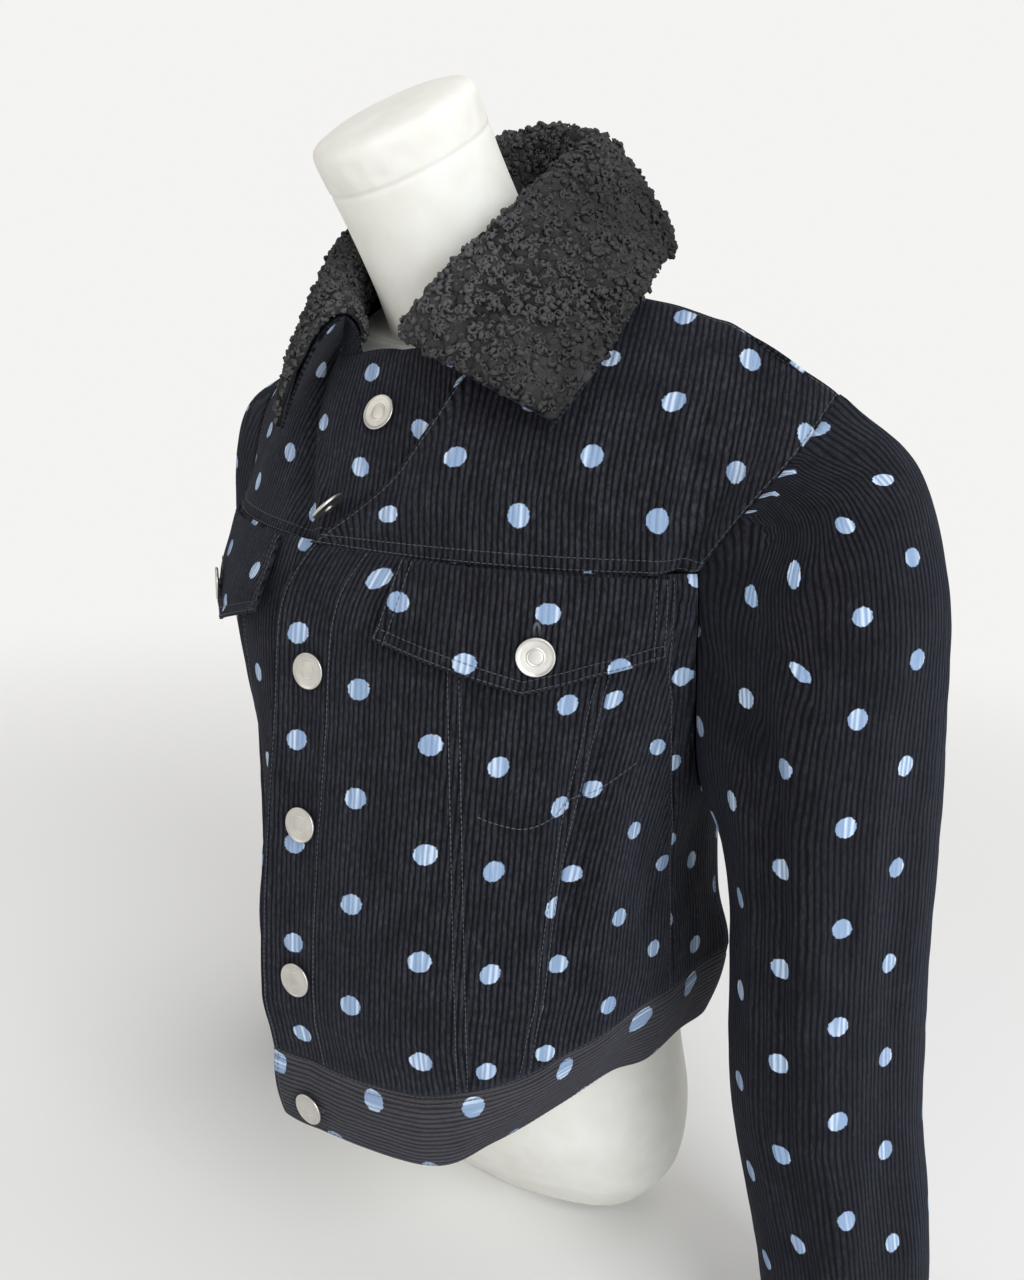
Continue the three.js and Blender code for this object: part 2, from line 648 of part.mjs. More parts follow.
// Collar section: an arch from the neck seam over the roll and down to the outer edge.
function collarPoint(t, w) {
  const row = spline(collarRows, t * (collarRows.length - 1));
  const seamPoint = neckline(row[0]);
  const roll = row.slice(1, 4);
  const edge = row.slice(4, 7);
  const middle = roll.map((v, k) => (8 * v - seamPoint[k] - edge[k]) / 6);
  const spread = minus(edge, seamPoint).map((v) => v * 0.22);
  const a = minus(middle, spread);
  const b = plus(middle, spread, 1);
  const s = 1 - w;
  return seamPoint.map((v, k) => s * s * s * v + 3 * s * s * w * a[k] + 3 * s * w * w * b[k] + w * w * w * edge[k]);
}

function collarNormal(t, w) {
  const a = collarPoint(Math.min(1, t + 0.004), w);
  const b = collarPoint(Math.max(0, t - 0.004), w);
  const c = collarPoint(t, Math.min(1, w + 0.01));
  const d = collarPoint(t, Math.max(0, w - 0.01));
  return unit(cross(minus(c, d), minus(a, b)));
}

const collarAlong = 30;
const collarAcross = [0, 0.12, 0.25, 0.37, 0.47, 0.56, 0.67, 0.8, 0.91, 1];

function collarLayer(name, from, to, round, start, material) {
  const rows = collarAcross.map((across, i) => Array.from({ length: collarAlong + 1 }, (_, j) => {
    const t = j / collarAlong;
    const w = Math.max(across, start);
    const p = collarPoint(t, w);
    const n = collarNormal(t, w);
    const rim = i === 0 || i === collarAcross.length - 1 || j === 0 || j === collarAlong;
    const top = rim ? lerp(from, to, round) : to;
    return { outer: plus(p, n, top), inner: plus(p, n, from) };
  }));
  const outer = rows.map((row) => row.map((v) => v.outer));
  const inner = rows.map((row) => row.map((v) => v.inner));
  group.add(wallMesh(name, outer, inner, false, material));
}

collarLayer('under_collar', 0, underCollarWall, 1, 0, corduroy);
const pileFrom = underCollarWall + seamGap;
collarLayer('sherpa_collar', pileFrom, pileFrom + pileWall, 0.55, 0.045, sherpa);

// Pocket flap: hangs from the yoke seam over the panels. lift is how far its point stands off.
function flap(name, sign, lap, lift) {
  const columns = 11;
  const rows = [0, 0.34, 0.67, 1];
  const grid = rows.map((v) => Array.from({ length: columns }, (_, j) => {
    const u = j / (columns - 1);
    const deg = sign * (lerp(20.4, 70, u) + v * lerp(-3.6, 0.6, u));
    const peak = 0.55;
    const drop = u < peak ? u / peak : (1 - u) / (1 - peak);
    const z = lerp(476.5, 437 - 20 * drop, v);
    const n = bodyNormal(deg, z, lap);
    return { p: plus(body(deg, z, lap), n, flapStandOff + wall + lift * v * v), n };
  }));
  group.add(wallFrom(name, grid, wall, false, corduroy));
}
flap('left_pocket_flap', 1, 'over', 0.6);
flap('right_pocket_flap', -1, 'under', 7);

// Button: a pressed disc with a raised rim and ring, on a short shank.
function button(name, centre, direction) {
  const profile = [[0, 0], [3, 0], [3, 1.2], [9.4, 1.2], [buttonRadius, 1.9], [9.4, 3.2],
    [8, 2.8], [5.2, 2.8], [4.8, 3.3], [0, 3.3]];
  const steps = 14;
  const n = unit(direction);
  const a = unit(cross(n, Math.abs(n[2]) < 0.9 ? [0, 0, 1] : [1, 0, 0]));
  const b = cross(n, a);
  const points = [];
  const faces = [];
  const ringsOf = profile.slice(1, -1);
  ringsOf.forEach(([r, h]) => {
    for (let k = 0; k < steps; k += 1) {
      const w = (2 * Math.PI * k) / steps;
      points.push(plus(plus(plus(centre, n, h), a, r * Math.cos(w)), b, r * Math.sin(w)));
    }
  });
  const low = points.length;
  points.push(plus(centre, n, profile[0][1]), plus(centre, n, profile[profile.length - 1][1]));
  for (let k = 0; k < steps; k += 1) {
    const next = (k + 1) % steps;
    faces.push([low, next, k]);
    for (let i = 0; i < ringsOf.length - 1; i += 1) {
      const p = i * steps;
      const q = p + steps;
      faces.push([p + k, p + next, q + next], [p + k, q + next, q + k]);
    }
    const top = (ringsOf.length - 1) * steps;
    faces.push([low + 1, top + k, top + next]);
  }
  group.add(meshOf(name, points, faces, metal));
}

// Seats a button on a surface: at(a, b) gives the point a across and b up from its middle.
function seatButton(name, at, outward, gap) {
  const reach = 8;
  let n = unit(cross(minus(at(reach, 0), at(-reach, 0)), minus(at(0, reach), at(0, -reach))));
  if (n[0] * outward[0] + n[1] * outward[1] + n[2] * outward[2] < 0) n = n.map((k) => -k);
  const height = (p) => p[0] * n[0] + p[1] * n[1] + p[2] * n[2];
  const middle = at(0, 0);
  let top = height(middle);
  for (let k = 0; k < 16; k += 1) {
    const w = (Math.PI * k) / 8;
    top = Math.max(top, height(at(3 * Math.cos(w), 3 * Math.sin(w))));
    top = Math.max(top, height(at(10 * Math.cos(w), 10 * Math.sin(w))) - 1.2);
  }
  button(name, plus(middle, n, top - height(middle) + gap), n);
}

function onBody(deg, z, lap, off) {
  const r = ringRadius(deg, z);
  return (a, b) => {
    const turned = deg + a / r / toRad;
    return plus(body(turned, z + b, lap), bodyNormal(turned, z + b, lap), off);
  };
}

seatButton('front_button_3', onBody(0, 413, 'over', 0), [0, -1, 0], 0.3);
seatButton('front_button_4', onBody(0, 327, 'over', 0), [0, -1, 0], 1);
seatButton('front_button_5', onBody(0, 235, 'over', 0), [0, -1, 0], 1.2);
const bandFace = unit([0.02, -0.99, -0.12]);
const bandFront = bandGrid.flat().map((v) => v.p)
  .filter((p) => p[1] < -100 && Math.abs(p[0]) < 16 && Math.abs(p[2] - 146) < 24)
  .map((p) => p[0] * bandFace[0] + p[1] * bandFace[1] + p[2] * bandFace[2]);
const bandSeat = Math.max(...bandFront) - (146 * bandFace[2]);
button('front_button_6', [0, (bandSeat + 0.1) / bandFace[1], 146], bandFace);
seatButton('front_button_1', (a, b) => yokePoint(rightYoke, 1 / 7 - a / 270, 0.72 + b / 108, 'under'), [0, -1, 0.4], 0.3);
button('front_button_2', [-7, -123.2, 496.2], [-0.64, -0.25, 0.72]);
seatButton('left_flap_button', onBody(48.5, 437, 'over', flapStandOff + wall + 0.3), [1, -1, 0], 0.5);
seatButton('right_flap_button', onBody(-48.5, 437, 'under', flapStandOff + wall + 3.2), [-1, -1, 0], 0.5);

// Dress form: the torso rings, then rings square to the leaning neck, closed top and bottom.
function dressForm() {
  const steps = 32;
  const points = [];
  for (const [z, centreY, halfWidth, front, back, n, slope] of formRows) {
    for (let k = 0; k < steps; k += 1) {
      const w = (2 * Math.PI * k) / steps;
      const s = Math.sin(w);
      const c = Math.cos(w);
      const depth = c > 0 ? front : back;
      const r = (Math.abs(s / halfWidth) ** n + Math.abs(c / depth) ** n) ** (-1 / n);
      points.push([r * s, centreY - r * c, z - slope * r * c]);
    }
  }
  const axis = unit(minus(neckTop, neckBase));
  const side = unit(cross([0, 1, 0], axis));
  const ahead = cross(axis, side);
  const neckRings = [[0, 1.06], [0.25, 1], [0.6, 0.98], [0.8, 0.98], [0.97, 1], [1, 0.94]];
  for (const [t, grow] of neckRings) {
    const centre = [0, 1, 2].map((k) => lerp(neckBase[k], neckTop[k], t));
    for (let k = 0; k < steps; k += 1) {
      const w = (2 * Math.PI * k) / steps;
      const r = neckRadius * grow;
      points.push(plus(plus(centre, side, r * Math.sin(w)), ahead, -r * Math.cos(w)));
    }
  }
  const ringCount = formRows.length + neckRings.length;
  const faces = [];
  for (let i = 0; i < ringCount - 1; i += 1) {
    for (let k = 0; k < steps; k += 1) {
      const next = (k + 1) % steps;
      const p = i * steps;
      const q = p + steps;
      faces.push([p + k, p + next, q + next], [p + k, q + next, q + k]);
    }
  }
  const low = points.length;
  points.push([0, formRows[0][1], 0], neckTop);
  for (let k = 0; k < steps; k += 1) {
    const next = (k + 1) % steps;
    const top = (ringCount - 1) * steps;
    faces.push([low, next, k], [low + 1, top + k, top + next]);
  }
  group.add(meshOf('dress_form', points, faces, formCloth));
}
dressForm();

// The origin is under the middle of the whole.
const box = new THREE.Box3().setFromObject(group);
group.position.set(-(box.min.x + box.max.x) / 2, -(box.min.y + box.max.y) / 2, -box.min.z);

export default group;
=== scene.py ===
# Corduroy jacket with a sherpa collar on a limbless dress form.
# Lengths in the tables are millimetres, front at -Y, the wearer's left at +X.
import math

import bmesh
import bpy
import numpy as np
from mathutils import Matrix, Vector, noise


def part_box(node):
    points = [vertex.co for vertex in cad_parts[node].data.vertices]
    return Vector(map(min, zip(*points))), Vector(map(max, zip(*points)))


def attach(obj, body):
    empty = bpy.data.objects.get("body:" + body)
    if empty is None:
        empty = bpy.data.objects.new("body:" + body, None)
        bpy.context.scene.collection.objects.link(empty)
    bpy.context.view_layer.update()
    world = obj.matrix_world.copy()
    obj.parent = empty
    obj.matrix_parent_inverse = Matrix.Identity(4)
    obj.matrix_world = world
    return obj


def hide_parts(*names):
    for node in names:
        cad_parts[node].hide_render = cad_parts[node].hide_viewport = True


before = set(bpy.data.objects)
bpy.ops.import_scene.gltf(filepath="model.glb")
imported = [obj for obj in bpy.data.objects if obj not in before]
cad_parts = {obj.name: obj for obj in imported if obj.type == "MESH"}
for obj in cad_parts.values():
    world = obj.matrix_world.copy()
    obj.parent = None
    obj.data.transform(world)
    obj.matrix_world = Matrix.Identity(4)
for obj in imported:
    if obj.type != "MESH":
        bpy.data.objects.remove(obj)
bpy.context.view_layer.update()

# the tables below are drawn about the middle of the form, the frame about the middle of the whole
formLow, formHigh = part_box("dress_form")
shift = np.array([(formLow[0] + formHigh[0]) * 500, formHigh[1] * 1000 - 130, formLow[2] * 1000])

cut = {
    "seamGap": 0.3, "yokeSeam": 478, "bandHeight": 52, "lapInset": 5.5, "edgeProud": 0.2,
    "panelWall": 1.7, "bandWall": 2.6, "flapStandOff": 0.9, "underCollarWall": 1.6,
    "pileWall": 8.0, "neckLift": 1.2, "flapWall": 1.8, "padWall": 2.4,
}
chest = np.array([0, 0, 430.0])


def curveThrough(p, q, r, w, f):
    # the share f of the way from q to r, on a smooth curve that also passes p and w
    return 0.5 * (2 * q + (r - p) * f + (2 * p - 5 * q + 4 * r - w) * f**2 + (3 * q - p - 3 * r + w) * f**3)


def smoothRows(rows, t):
    # smooth curve through the rows of a table, at row number t
    rows = np.asarray(rows, float)
    last = len(rows) - 1
    s = np.clip(np.asarray(t, float), 0, last - 1e-9)
    i = np.floor(s).astype(int)
    f = (s - i)[..., None]
    ends = np.vstack([2 * rows[0] - rows[1], rows, 2 * rows[-1] - rows[-2]])
    return curveThrough(ends[i], ends[i + 1], ends[i + 2], ends[i + 3], f)


def lookUp(rows, key):
    # smooth look-up of a table by its first column
    rows = np.asarray(rows, float)
    keys = rows[:, 0]
    k = np.clip(np.asarray(key, float), keys[0], keys[-1])
    i = np.clip(np.searchsorted(keys, k, side="left") - 1, 0, len(rows) - 2)
    t = i + (k - keys[i]) / (keys[i + 1] - keys[i])
    return smoothRows(rows[:, 1:], t)


def bell(x):
    return np.exp(-(x * x))


def wrapDeg(deg):
    deg = np.where(deg > 180, deg - 360, deg)
    return np.where(deg < -180, deg + 360, deg)


def unit(a):
    return a / np.maximum(np.linalg.norm(a, axis=-1, keepdims=True), 1e-9)


def mix(a, b, t):
    return a + (b - a) * t


bodyShape = {
    # z, half width, front depth, back depth, squareness of left front, right front, rear
    "rings": [
        [170, 150, 144, 142, 2.7, 1.6, 2.3], [190, 154, 148, 143, 2.6, 1.55, 2.3],
        [215, 158, 153, 146, 2.5, 1.5, 2.3], [260, 156, 153, 147, 2.4, 1.45, 2.3],
        [300, 153, 151, 147, 2.3, 1.45, 2.3], [345, 160, 148, 146, 2.1, 1.5, 2.2],
        [385, 167, 145, 143, 2.0, 1.68, 2.2], [438, 179, 142, 138, 1.9, 1.82, 2.1],
        [465, 186, 134, 135, 1.9, 1.72, 2.1], [486, 189, 124, 131, 1.9, 1.65, 2.1],
    ],
    # angle, z, half angle, half height, depth
    "folds": [
        [57, 330, 3.4, 95, -5], [66, 300, 5, 80, 3], [-50, 330, 5, 80, -4], [-84, 300, 7, 80, -5],
        [96, 300, 7, 80, -4], [112, 224, 6, 26, 10], [135, 330, 9, 110, 5], [160, 290, 8, 90, -4],
        [-128, 310, 9, 100, -6], [-155, 300, 8, 100, 4],
    ],
    # angle, x, y, z of the lower edge of the waistband
    "hem": [
        [-180, 0, 140, 166], [-150, -78, 126, 166], [-120, -132, 76, 168], [-90, -144, 0, 168],
        [-60, -112, -62, 160], [-30, -64, -112, 138], [-10, -26, -133, 127], [0, 0, -139, 127],
        [30, 77, -127, 134], [45, 104, -101, 148], [60, 125, -72, 165], [75, 138, -37, 175],
        [90, 146, 0, 172], [120, 134, 78, 172], [150, 80, 126, 168], [180, 0, 140, 166],
    ],
    # z, angle of each seam that runs down the body
    "seams": {
        "leftCentre": [[190, 39.5], [420, 35]],
        "leftChest": [[190, 50], [245, 53], [415, 61.5], [480, 63]],
        "leftSide": [[190, 86], [286, 87], [410, 75.2], [455, 72.2], [480, 71.5]],
        "leftRear": [[190, 112], [480, 112]],
        "rightEdge": [[170, 10.5], [430, 10.5], [478, 12]],
        "rightCentre": [[190, -39.5], [420, -35]],
        "rightChest": [[190, -50], [245, -53], [415, -61.5], [480, -63]],
        "rightSide": [[190, -86], [286, -87], [410, -79], [480, -75.5]],
        "rightRear": [[190, -113], [480, -113]],
    },
    # middle and half width in degrees, and drop below the yoke seam
    "armholes": {"left": (95, 20, 133), "right": (-97.5, 18.5, 133)},
}


def ringRadius(deg, z):
    row = lookUp(bodyShape["rings"], z)
    s, c = np.sin(np.radians(deg)), np.cos(np.radians(deg))
    n = np.where(c < 0, row[..., 5], np.where(s >= 0, row[..., 3], row[..., 4]))
    depth = np.where(c < 0, row[..., 2], row[..., 1])
    r = (np.abs(s / row[..., 0]) ** n + np.abs(c / depth) ** n) ** (-1 / n)
    for angle, height, halfAngle, halfHeight, amount in bodyShape["folds"]:
        r = r + amount * bell((deg - angle) / halfAngle) * bell((z - height) / halfHeight)
    return r


def body(angle, z, lap):
    # outer surface; lap is "over" for the left front and "under" for the right
    deg, z = np.broadcast_arrays(wrapDeg(np.asarray(angle, float)), np.asarray(z, float))
    s, c = np.sin(np.radians(deg)), np.cos(np.radians(deg))
    r = ringRadius(deg, z)
    if lap == "under":
        r = r - np.where((deg > -60) & (deg < 40), cut["lapInset"] * bell(np.minimum(0, deg) / 12), 0)
    p = np.stack([r * s, -r * c, z], -1)
    if lap == "over":
        middle = ringRadius(deg * 0, z)
        x = middle * s
        flat = np.stack([x, -(middle + cut["edgeProud"] * np.abs(x)), z], -1)
        p = np.where(((deg < 0) & (deg > -30))[..., None], flat, p)
    return p


def bodyNormal(deg, z, lap):
    across = body(deg + 0.6, z, lap) - body(deg - 0.6, z, lap)
    up = body(deg, z + 2, lap) - body(deg, z - 2, lap)
    return unit(np.cross(across, up))


def panelTop(deg, side):
    middle, half, drop = bodyShape["armholes"][side]
    return cut["yokeSeam"] - drop * np.maximum(0, 1 - ((deg - middle) / half) ** 2) ** 0.85


def hemPoint(angle):
    deg = wrapDeg(np.asarray(angle, float))
    p = lookUp(bodyShape["hem"], deg)
    k = 1 + (7 * bell((deg - 112) / 6)) / np.hypot(p[..., 0], p[..., 1])
    return p * np.stack([k, k, k * 0 + 1], -1)


def bandTop(deg):
    return hemPoint(deg)[..., 2] + cut["bandHeight"]


seams = {k: np.array(v, float) for k, v in bodyShape["seams"].items()}
seams["leftEdge"] = np.array([
    [z, -math.degrees(math.asin(x / ringRadius(np.array(0.0), np.array(float(z)))))]
    for z, x in ((170, 25), (430, 25), (455, 23), (478, 14))])


def seamAt(name, z):
    return lookUp(seams[name], z)[..., 0]


# small creases of the worn cloth, measured round a body of one radius: angle, z,
# lean (mm across per mm up), half width, half length, depth
creaseRadius = 155
creases = [
    [62, 395, 0.35, 4.5, 40, -1.6], [58, 300, 0.22, 4, 60, -2.2], [50, 250, 0.1, 5, 45, 1.0],
    [70, 350, -0.5, 5, 28, -1.0], [79, 320, 0.1, 6, 60, -1.6], [75, 255, -0.25, 6, 40, 1.2],
    [88, 262, 0.15, 6, 34, -1.5], [100, 250, -0.2, 7, 34, 1.5], [84, 212, 0.9, 5, 20, -1.2],
    [22, 300, 0.05, 9, 60, -0.7], [12, 250, -0.08, 8, 50, 0.6], [30, 215, 0.5, 6, 26, -0.8],
    [5, 215, -0.6, 5, 18, -0.7], [-20, 330, -0.15, 7, 55, -1.3], [-40, 260, 0.2, 6, 50, 1.4],
    [-66, 300, -0.3, 6, 60, -1.8], [-92, 250, 0.2, 7, 45, 1.6], [-78, 215, -0.7, 6, 24, -1.4],
    [-30, 230, 0.5, 6, 30, -1.0], [140, 400, 0.4, 8, 40, -1.6], [128, 300, -0.2, 7, 60, -1.8],
    [155, 240, 0.15, 7, 45, 1.5], [175, 350, -0.1, 9, 70, -1.5], [196, 260, 0.25, 7, 50, 1.3],
    [212, 380, -0.4, 7, 45, -1.7], [228, 300, 0.15, 6, 60, -1.9], [150, 215, 0.8, 6, 22, -1.2],
    [205, 212, -0.7, 6, 22, -1.2], [118, 350, 0.2, 5, 50, -1.5], [240, 240, 0.3, 6, 35, 1.3],
]


def bodyCreases(deg, z):
    lift = np.zeros(np.broadcast(deg, z).shape)
    for angle, height, lean, halfWidth, halfLength, depth in creases:
        across = np.radians(wrapDeg(deg - angle)) * creaseRadius - lean * (z - height)
        lift += depth * bell(across / halfWidth) * bell((z - height) / halfLength)
    return lift


def roughness(p, size, seed):
    # slow unevenness of hand-worn cloth
    out = np.zeros(p.shape[:-1])
    for i in np.ndindex(out.shape):
        q = p[i] / size
        out[i] = noise.noise(Vector((q[0] + seed, q[1], q[2] * 0.7)))
    return out


def lengthRun(points, axis):
    # length from the first row (axis 0) or the first column (axis 1) to each point
    step = np.linalg.norm(np.diff(points, axis=axis), axis=-1)
    return np.concatenate([np.zeros_like(np.take(step, [0], axis)), np.cumsum(step, axis)], axis)


def acrossAndAlong(points, refColumn, base):
    # real lengths over the cloth: across the wales from one column, and up along them
    up = unit(np.gradient(points, axis=0))
    step = points[:, 1:] - points[:, :-1]
    mid = unit(up[:, 1:] + up[:, :-1])
    along = np.sum(step * mid, -1, keepdims=True)
    width = np.linalg.norm(step - along * mid, axis=-1)
    u = np.concatenate([np.zeros((len(points), 1)), np.cumsum(width, 1)], 1)
    u -= u[:, refColumn][:, None]
    return u, lengthRun(points, 0) + base[None, :]


def facing(points, around):
    # normals of a grid of points, turned away from the line that it goes round
    across = np.gradient(points, axis=1)
    up = np.gradient(points, axis=0)
    n = unit(np.cross(across, up))
    middle = n[len(n) // 2, n.shape[1] // 2]
    out = points[len(n) // 2, n.shape[1] // 2] - around
    return n if np.dot(middle, out) > 0 else -n


def meetSeams(points, sides, reach=0.4):
    # a little of each seam allowance, so that neighbours touch at the bottom of the seam
    out = points.copy()
    pairs = {"l": (np.s_[:, 0], np.s_[:, 1]), "r": (np.s_[:, -1], np.s_[:, -2]),
             "b": (np.s_[0], np.s_[1]), "t": (np.s_[-1], np.s_[-2])}
    for side in sides:
        edge, inner = pairs[side]
        out[edge] = points[edge] + unit(points[edge] - points[inner]) * reach
    return out


def fromEdge(points, side):
    # distance of each point from the end of its own row (l, r) or column (b, t)
    near = {"l": points[:, :1], "r": points[:, -1:], "b": points[:1], "t": points[-1:]}[side]
    return np.linalg.norm(points - near, axis=-1)


def edgeDip(points, sides, reach=2.6, depth=0.75):
    # cloth rolls down into the seams at its edges; sides is a string of l, r, b and t
    return -depth * sum(bell(fromEdge(points, side) / reach) for side in sides)


def channel(points, sides, inset, depth=0.45, width=1.3):
    # the furrow that a row of stitches pulls into the cloth, at its distance from an edge
    return -depth * sum(bell((fromEdge(points, side) - inset) / width) for side in sides)


def printPlace(uv, place):
    # where the print lies on a piece: each row is across scale, along scale, shift in mm
    (a, b, c), (d, e, f) = place
    return a * uv[0] + b * uv[1] + c, d * uv[0] + e * uv[1] + f


def gridOf(points):
    # quads through a grid of points, and each vertex's row and column
    rows, cols = points.shape[0] - 1, points.shape[1] - 1
    bm = bmesh.new()
    bmesh.ops.create_grid(bm, x_segments=cols, y_segments=rows, size=0.5)
    bm.verts.ensure_lookup_table()
    spot = {v.index: (round((v.co.y + 0.5) * rows), round((v.co.x + 0.5) * cols)) for v in bm.verts}
    place = (points + shift) / 1000
    for v in bm.verts:
        v.co = place[spot[v.index]]
    return bm, spot


def meshFrom(name, bm):
    mesh = bpy.data.meshes.new(name)
    bm.to_mesh(mesh)
    bm.free()
    return mesh


def linkMesh(name, mesh, *materials):
    for material in materials:
        mesh.materials.append(material)
    piece = bpy.data.objects.new(name, mesh)
    bpy.context.scene.collection.objects.link(piece)
    return piece


def clothPiece(node, points, normals, uv, wall, mats, closed=False, printed=None, name=None):
    # a grid of cloth bent to its points, given its thickness, with its own lengths as UVs
    name = name or node + "_cloth"
    printed = printed or uv
    bm, spot = gridOf(points)
    layers = [(bm.loops.layers.uv.new("cloth"), uv), (bm.loops.layers.uv.new("print"), printed)]
    for face in bm.faces:
        face.smooth = True
        for loop in face.loops:
            at = spot[loop.vert.index]
            for layer, (across, along) in layers:
                loop[layer].uv = (across[at] / 1000, along[at] / 1000)
    bm.normal_update()
    bm.faces.ensure_lookup_table()
    middle = bm.faces[len(bm.faces) // 2]
    if middle.normal.dot(Vector(normals[spot[middle.verts[0].index]])) < 0:
        bmesh.ops.reverse_faces(bm, faces=bm.faces)
    if closed:
        bmesh.ops.remove_doubles(bm, verts=bm.verts, dist=1e-6)
    piece = linkMesh(name, meshFrom(name, bm), *mats)
    thick = piece.modifiers.new("wall", "SOLIDIFY")
    thick.thickness = wall / 1000
    thick.offset = -1
    thick.use_quality_normals = True
    if len(mats) > 1:
        thick.material_offset = 1
    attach(piece, "root")
    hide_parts(node)
    return piece


# shader groups
def newGroup(name, inputs, outputs):
    group = bpy.data.node_groups.new(name, "ShaderNodeTree")
    for label, kind, value in inputs:
        socket = group.interface.new_socket(label, in_out="INPUT", socket_type=kind)
        if value is not None:
            socket.default_value = value
    for label, kind in outputs:
        group.interface.new_socket(label, in_out="OUTPUT", socket_type=kind)
    return group, group.nodes.new("NodeGroupInput"), group.nodes.new("NodeGroupOutput")


def mathNode(tree, op, a, b=None):
    node = tree.nodes.new("ShaderNodeMath")
    node.operation = op
    for socket, value in zip(node.inputs, (a, b)):
        if value is None:
            continue
        if isinstance(value, (int, float)):
            socket.default_value = value
        else:
            tree.links.new(value, socket)
    return node.outputs[0]


def vectorNode(tree, op, a, b=None):
    node = tree.nodes.new("ShaderNodeVectorMath")
    node.operation = op
    for socket, value in zip(node.inputs, (a, b)):
        if value is None:
            continue
        if isinstance(value, tuple):
            socket.default_value = value
        else:
            tree.links.new(value, socket)
    return node.outputs["Value"] if op == "LENGTH" else node.outputs["Vector"]


def noiseNode(tree, vector, scale, detail=2.0, rough=0.5):
    node = tree.nodes.new("ShaderNodeTexNoise")
    node.inputs["Scale"].default_value = scale
    node.inputs["Detail"].default_value = detail
    node.inputs["Roughness"].default_value = rough
    tree.links.new(vector, node.inputs["Vector"])
    return node.outputs["Fac"]


def rangeNode(tree, value, lo, hi, toLo=0.0, toHi=1.0, smooth=False):
    node = tree.nodes.new("ShaderNodeMapRange")
    if smooth:
        node.interpolation_type = "SMOOTHSTEP"
    for label, number in (("From Min", lo), ("From Max", hi), ("To Min", toLo), ("To Max", toHi)):
        node.inputs[label].default_value = number
    tree.links.new(value, node.inputs["Value"])
    return node.outputs["Result"]


def mixColours(tree, factor, a, b):
    node = tree.nodes.new("ShaderNodeMix")
    node.data_type = "RGBA"
    if isinstance(factor, (int, float)):
        node.inputs["Factor"].default_value = factor
    else:
        tree.links.new(factor, node.inputs["Factor"])
    for socket, value in ((node.inputs["A"], a), (node.inputs["B"], b)):
        if isinstance(value, tuple):
            socket.default_value = value + (1.0,) if len(value) == 3 else value
        else:
            tree.links.new(value, socket)
    return node.outputs["Result"]


def waleGroup():
    # ribs of the corduroy: height, and how near the crest
    group, given, out = newGroup(
        "corduroyWales",
        [("Cloth", "NodeSocketVector", None), ("Pitch", "NodeSocketFloat", 0.0032)],
        [("Height", "NodeSocketFloat"), ("Crest", "NodeSocketFloat")])
    links = group.links
    split = group.nodes.new("ShaderNodeSeparateXYZ")
    stretch = vectorNode(group, "MULTIPLY", given.outputs["Cloth"], (300.0, 45.0, 0.0))
    wander = noiseNode(group, stretch, 1.0, 2.0)
    links.new(given.outputs["Cloth"], split.inputs["Vector"])
    rib = mathNode(group, "DIVIDE", split.outputs["X"], given.outputs["Pitch"])
    rib = mathNode(group, "ADD", rib, rangeNode(group, wander, 0.3, 0.7, -0.13, 0.13))
    part = mathNode(group, "FRACT", rib)
    part = mathNode(group, "ABSOLUTE", mathNode(group, "SUBTRACT", part, 0.5))
    wave = mathNode(group, "COSINE", mathNode(group, "MULTIPLY", part, 2 * math.pi))
    arch = mathNode(group, "ADD", mathNode(group, "MULTIPLY", wave, 0.5), 0.5)
    arch = mathNode(group, "POWER", arch, 0.75)
    tufts = vectorNode(group, "MULTIPLY", given.outputs["Cloth"], (2600.0, 900.0, 0.0))
    nap = rangeNode(group, noiseNode(group, tufts, 1.0, 3.0, 0.65), 0.25, 0.75, -0.24, 0.24)
    links.new(mathNode(group, "ADD", arch, nap), out.inputs["Height"])
    links.new(rangeNode(group, arch, 0.05, 1.0, 0.0, 1.0), out.inputs["Crest"])
    return group


def dotGroup():
    # half-drop print: one dot in each cell of two lattices, half a cell apart
    group, given, out = newGroup(
        "halfDropDots",
        [("Cloth", "NodeSocketVector", None), ("Radius", "NodeSocketFloat", 0.0053)],
        [("Mask", "NodeSocketFloat")])
    cell = (0.066, 0.0545, 1.0)
    masks = []
    wobble = vectorNode(group, "MULTIPLY", given.outputs["Cloth"], (700.0, 700.0, 0.0))
    wobble = rangeNode(group, noiseNode(group, wobble, 1.0, 2.0), 0.3, 0.7, -0.0004, 0.0004)
    for half in ((0.0, 0.0, 0.0), (0.5, 0.5, 0.0)):
        spot = vectorNode(group, "DIVIDE", given.outputs["Cloth"], cell)
        spot = vectorNode(group, "FRACTION", vectorNode(group, "ADD", spot, half))
        spot = vectorNode(group, "SUBTRACT", spot, (0.5, 0.5, 0.0))
        away = vectorNode(group, "LENGTH", vectorNode(group, "MULTIPLY", spot, cell))
        away = mathNode(group, "ADD", away, wobble)
        edge = mathNode(group, "SUBTRACT", given.outputs["Radius"], away)
        masks.append(rangeNode(group, edge, -0.00025, 0.00025, 0.0, 1.0, True))
    group.links.new(mathNode(group, "MAXIMUM", masks[0], masks[1]), out.inputs["Mask"])
    return group


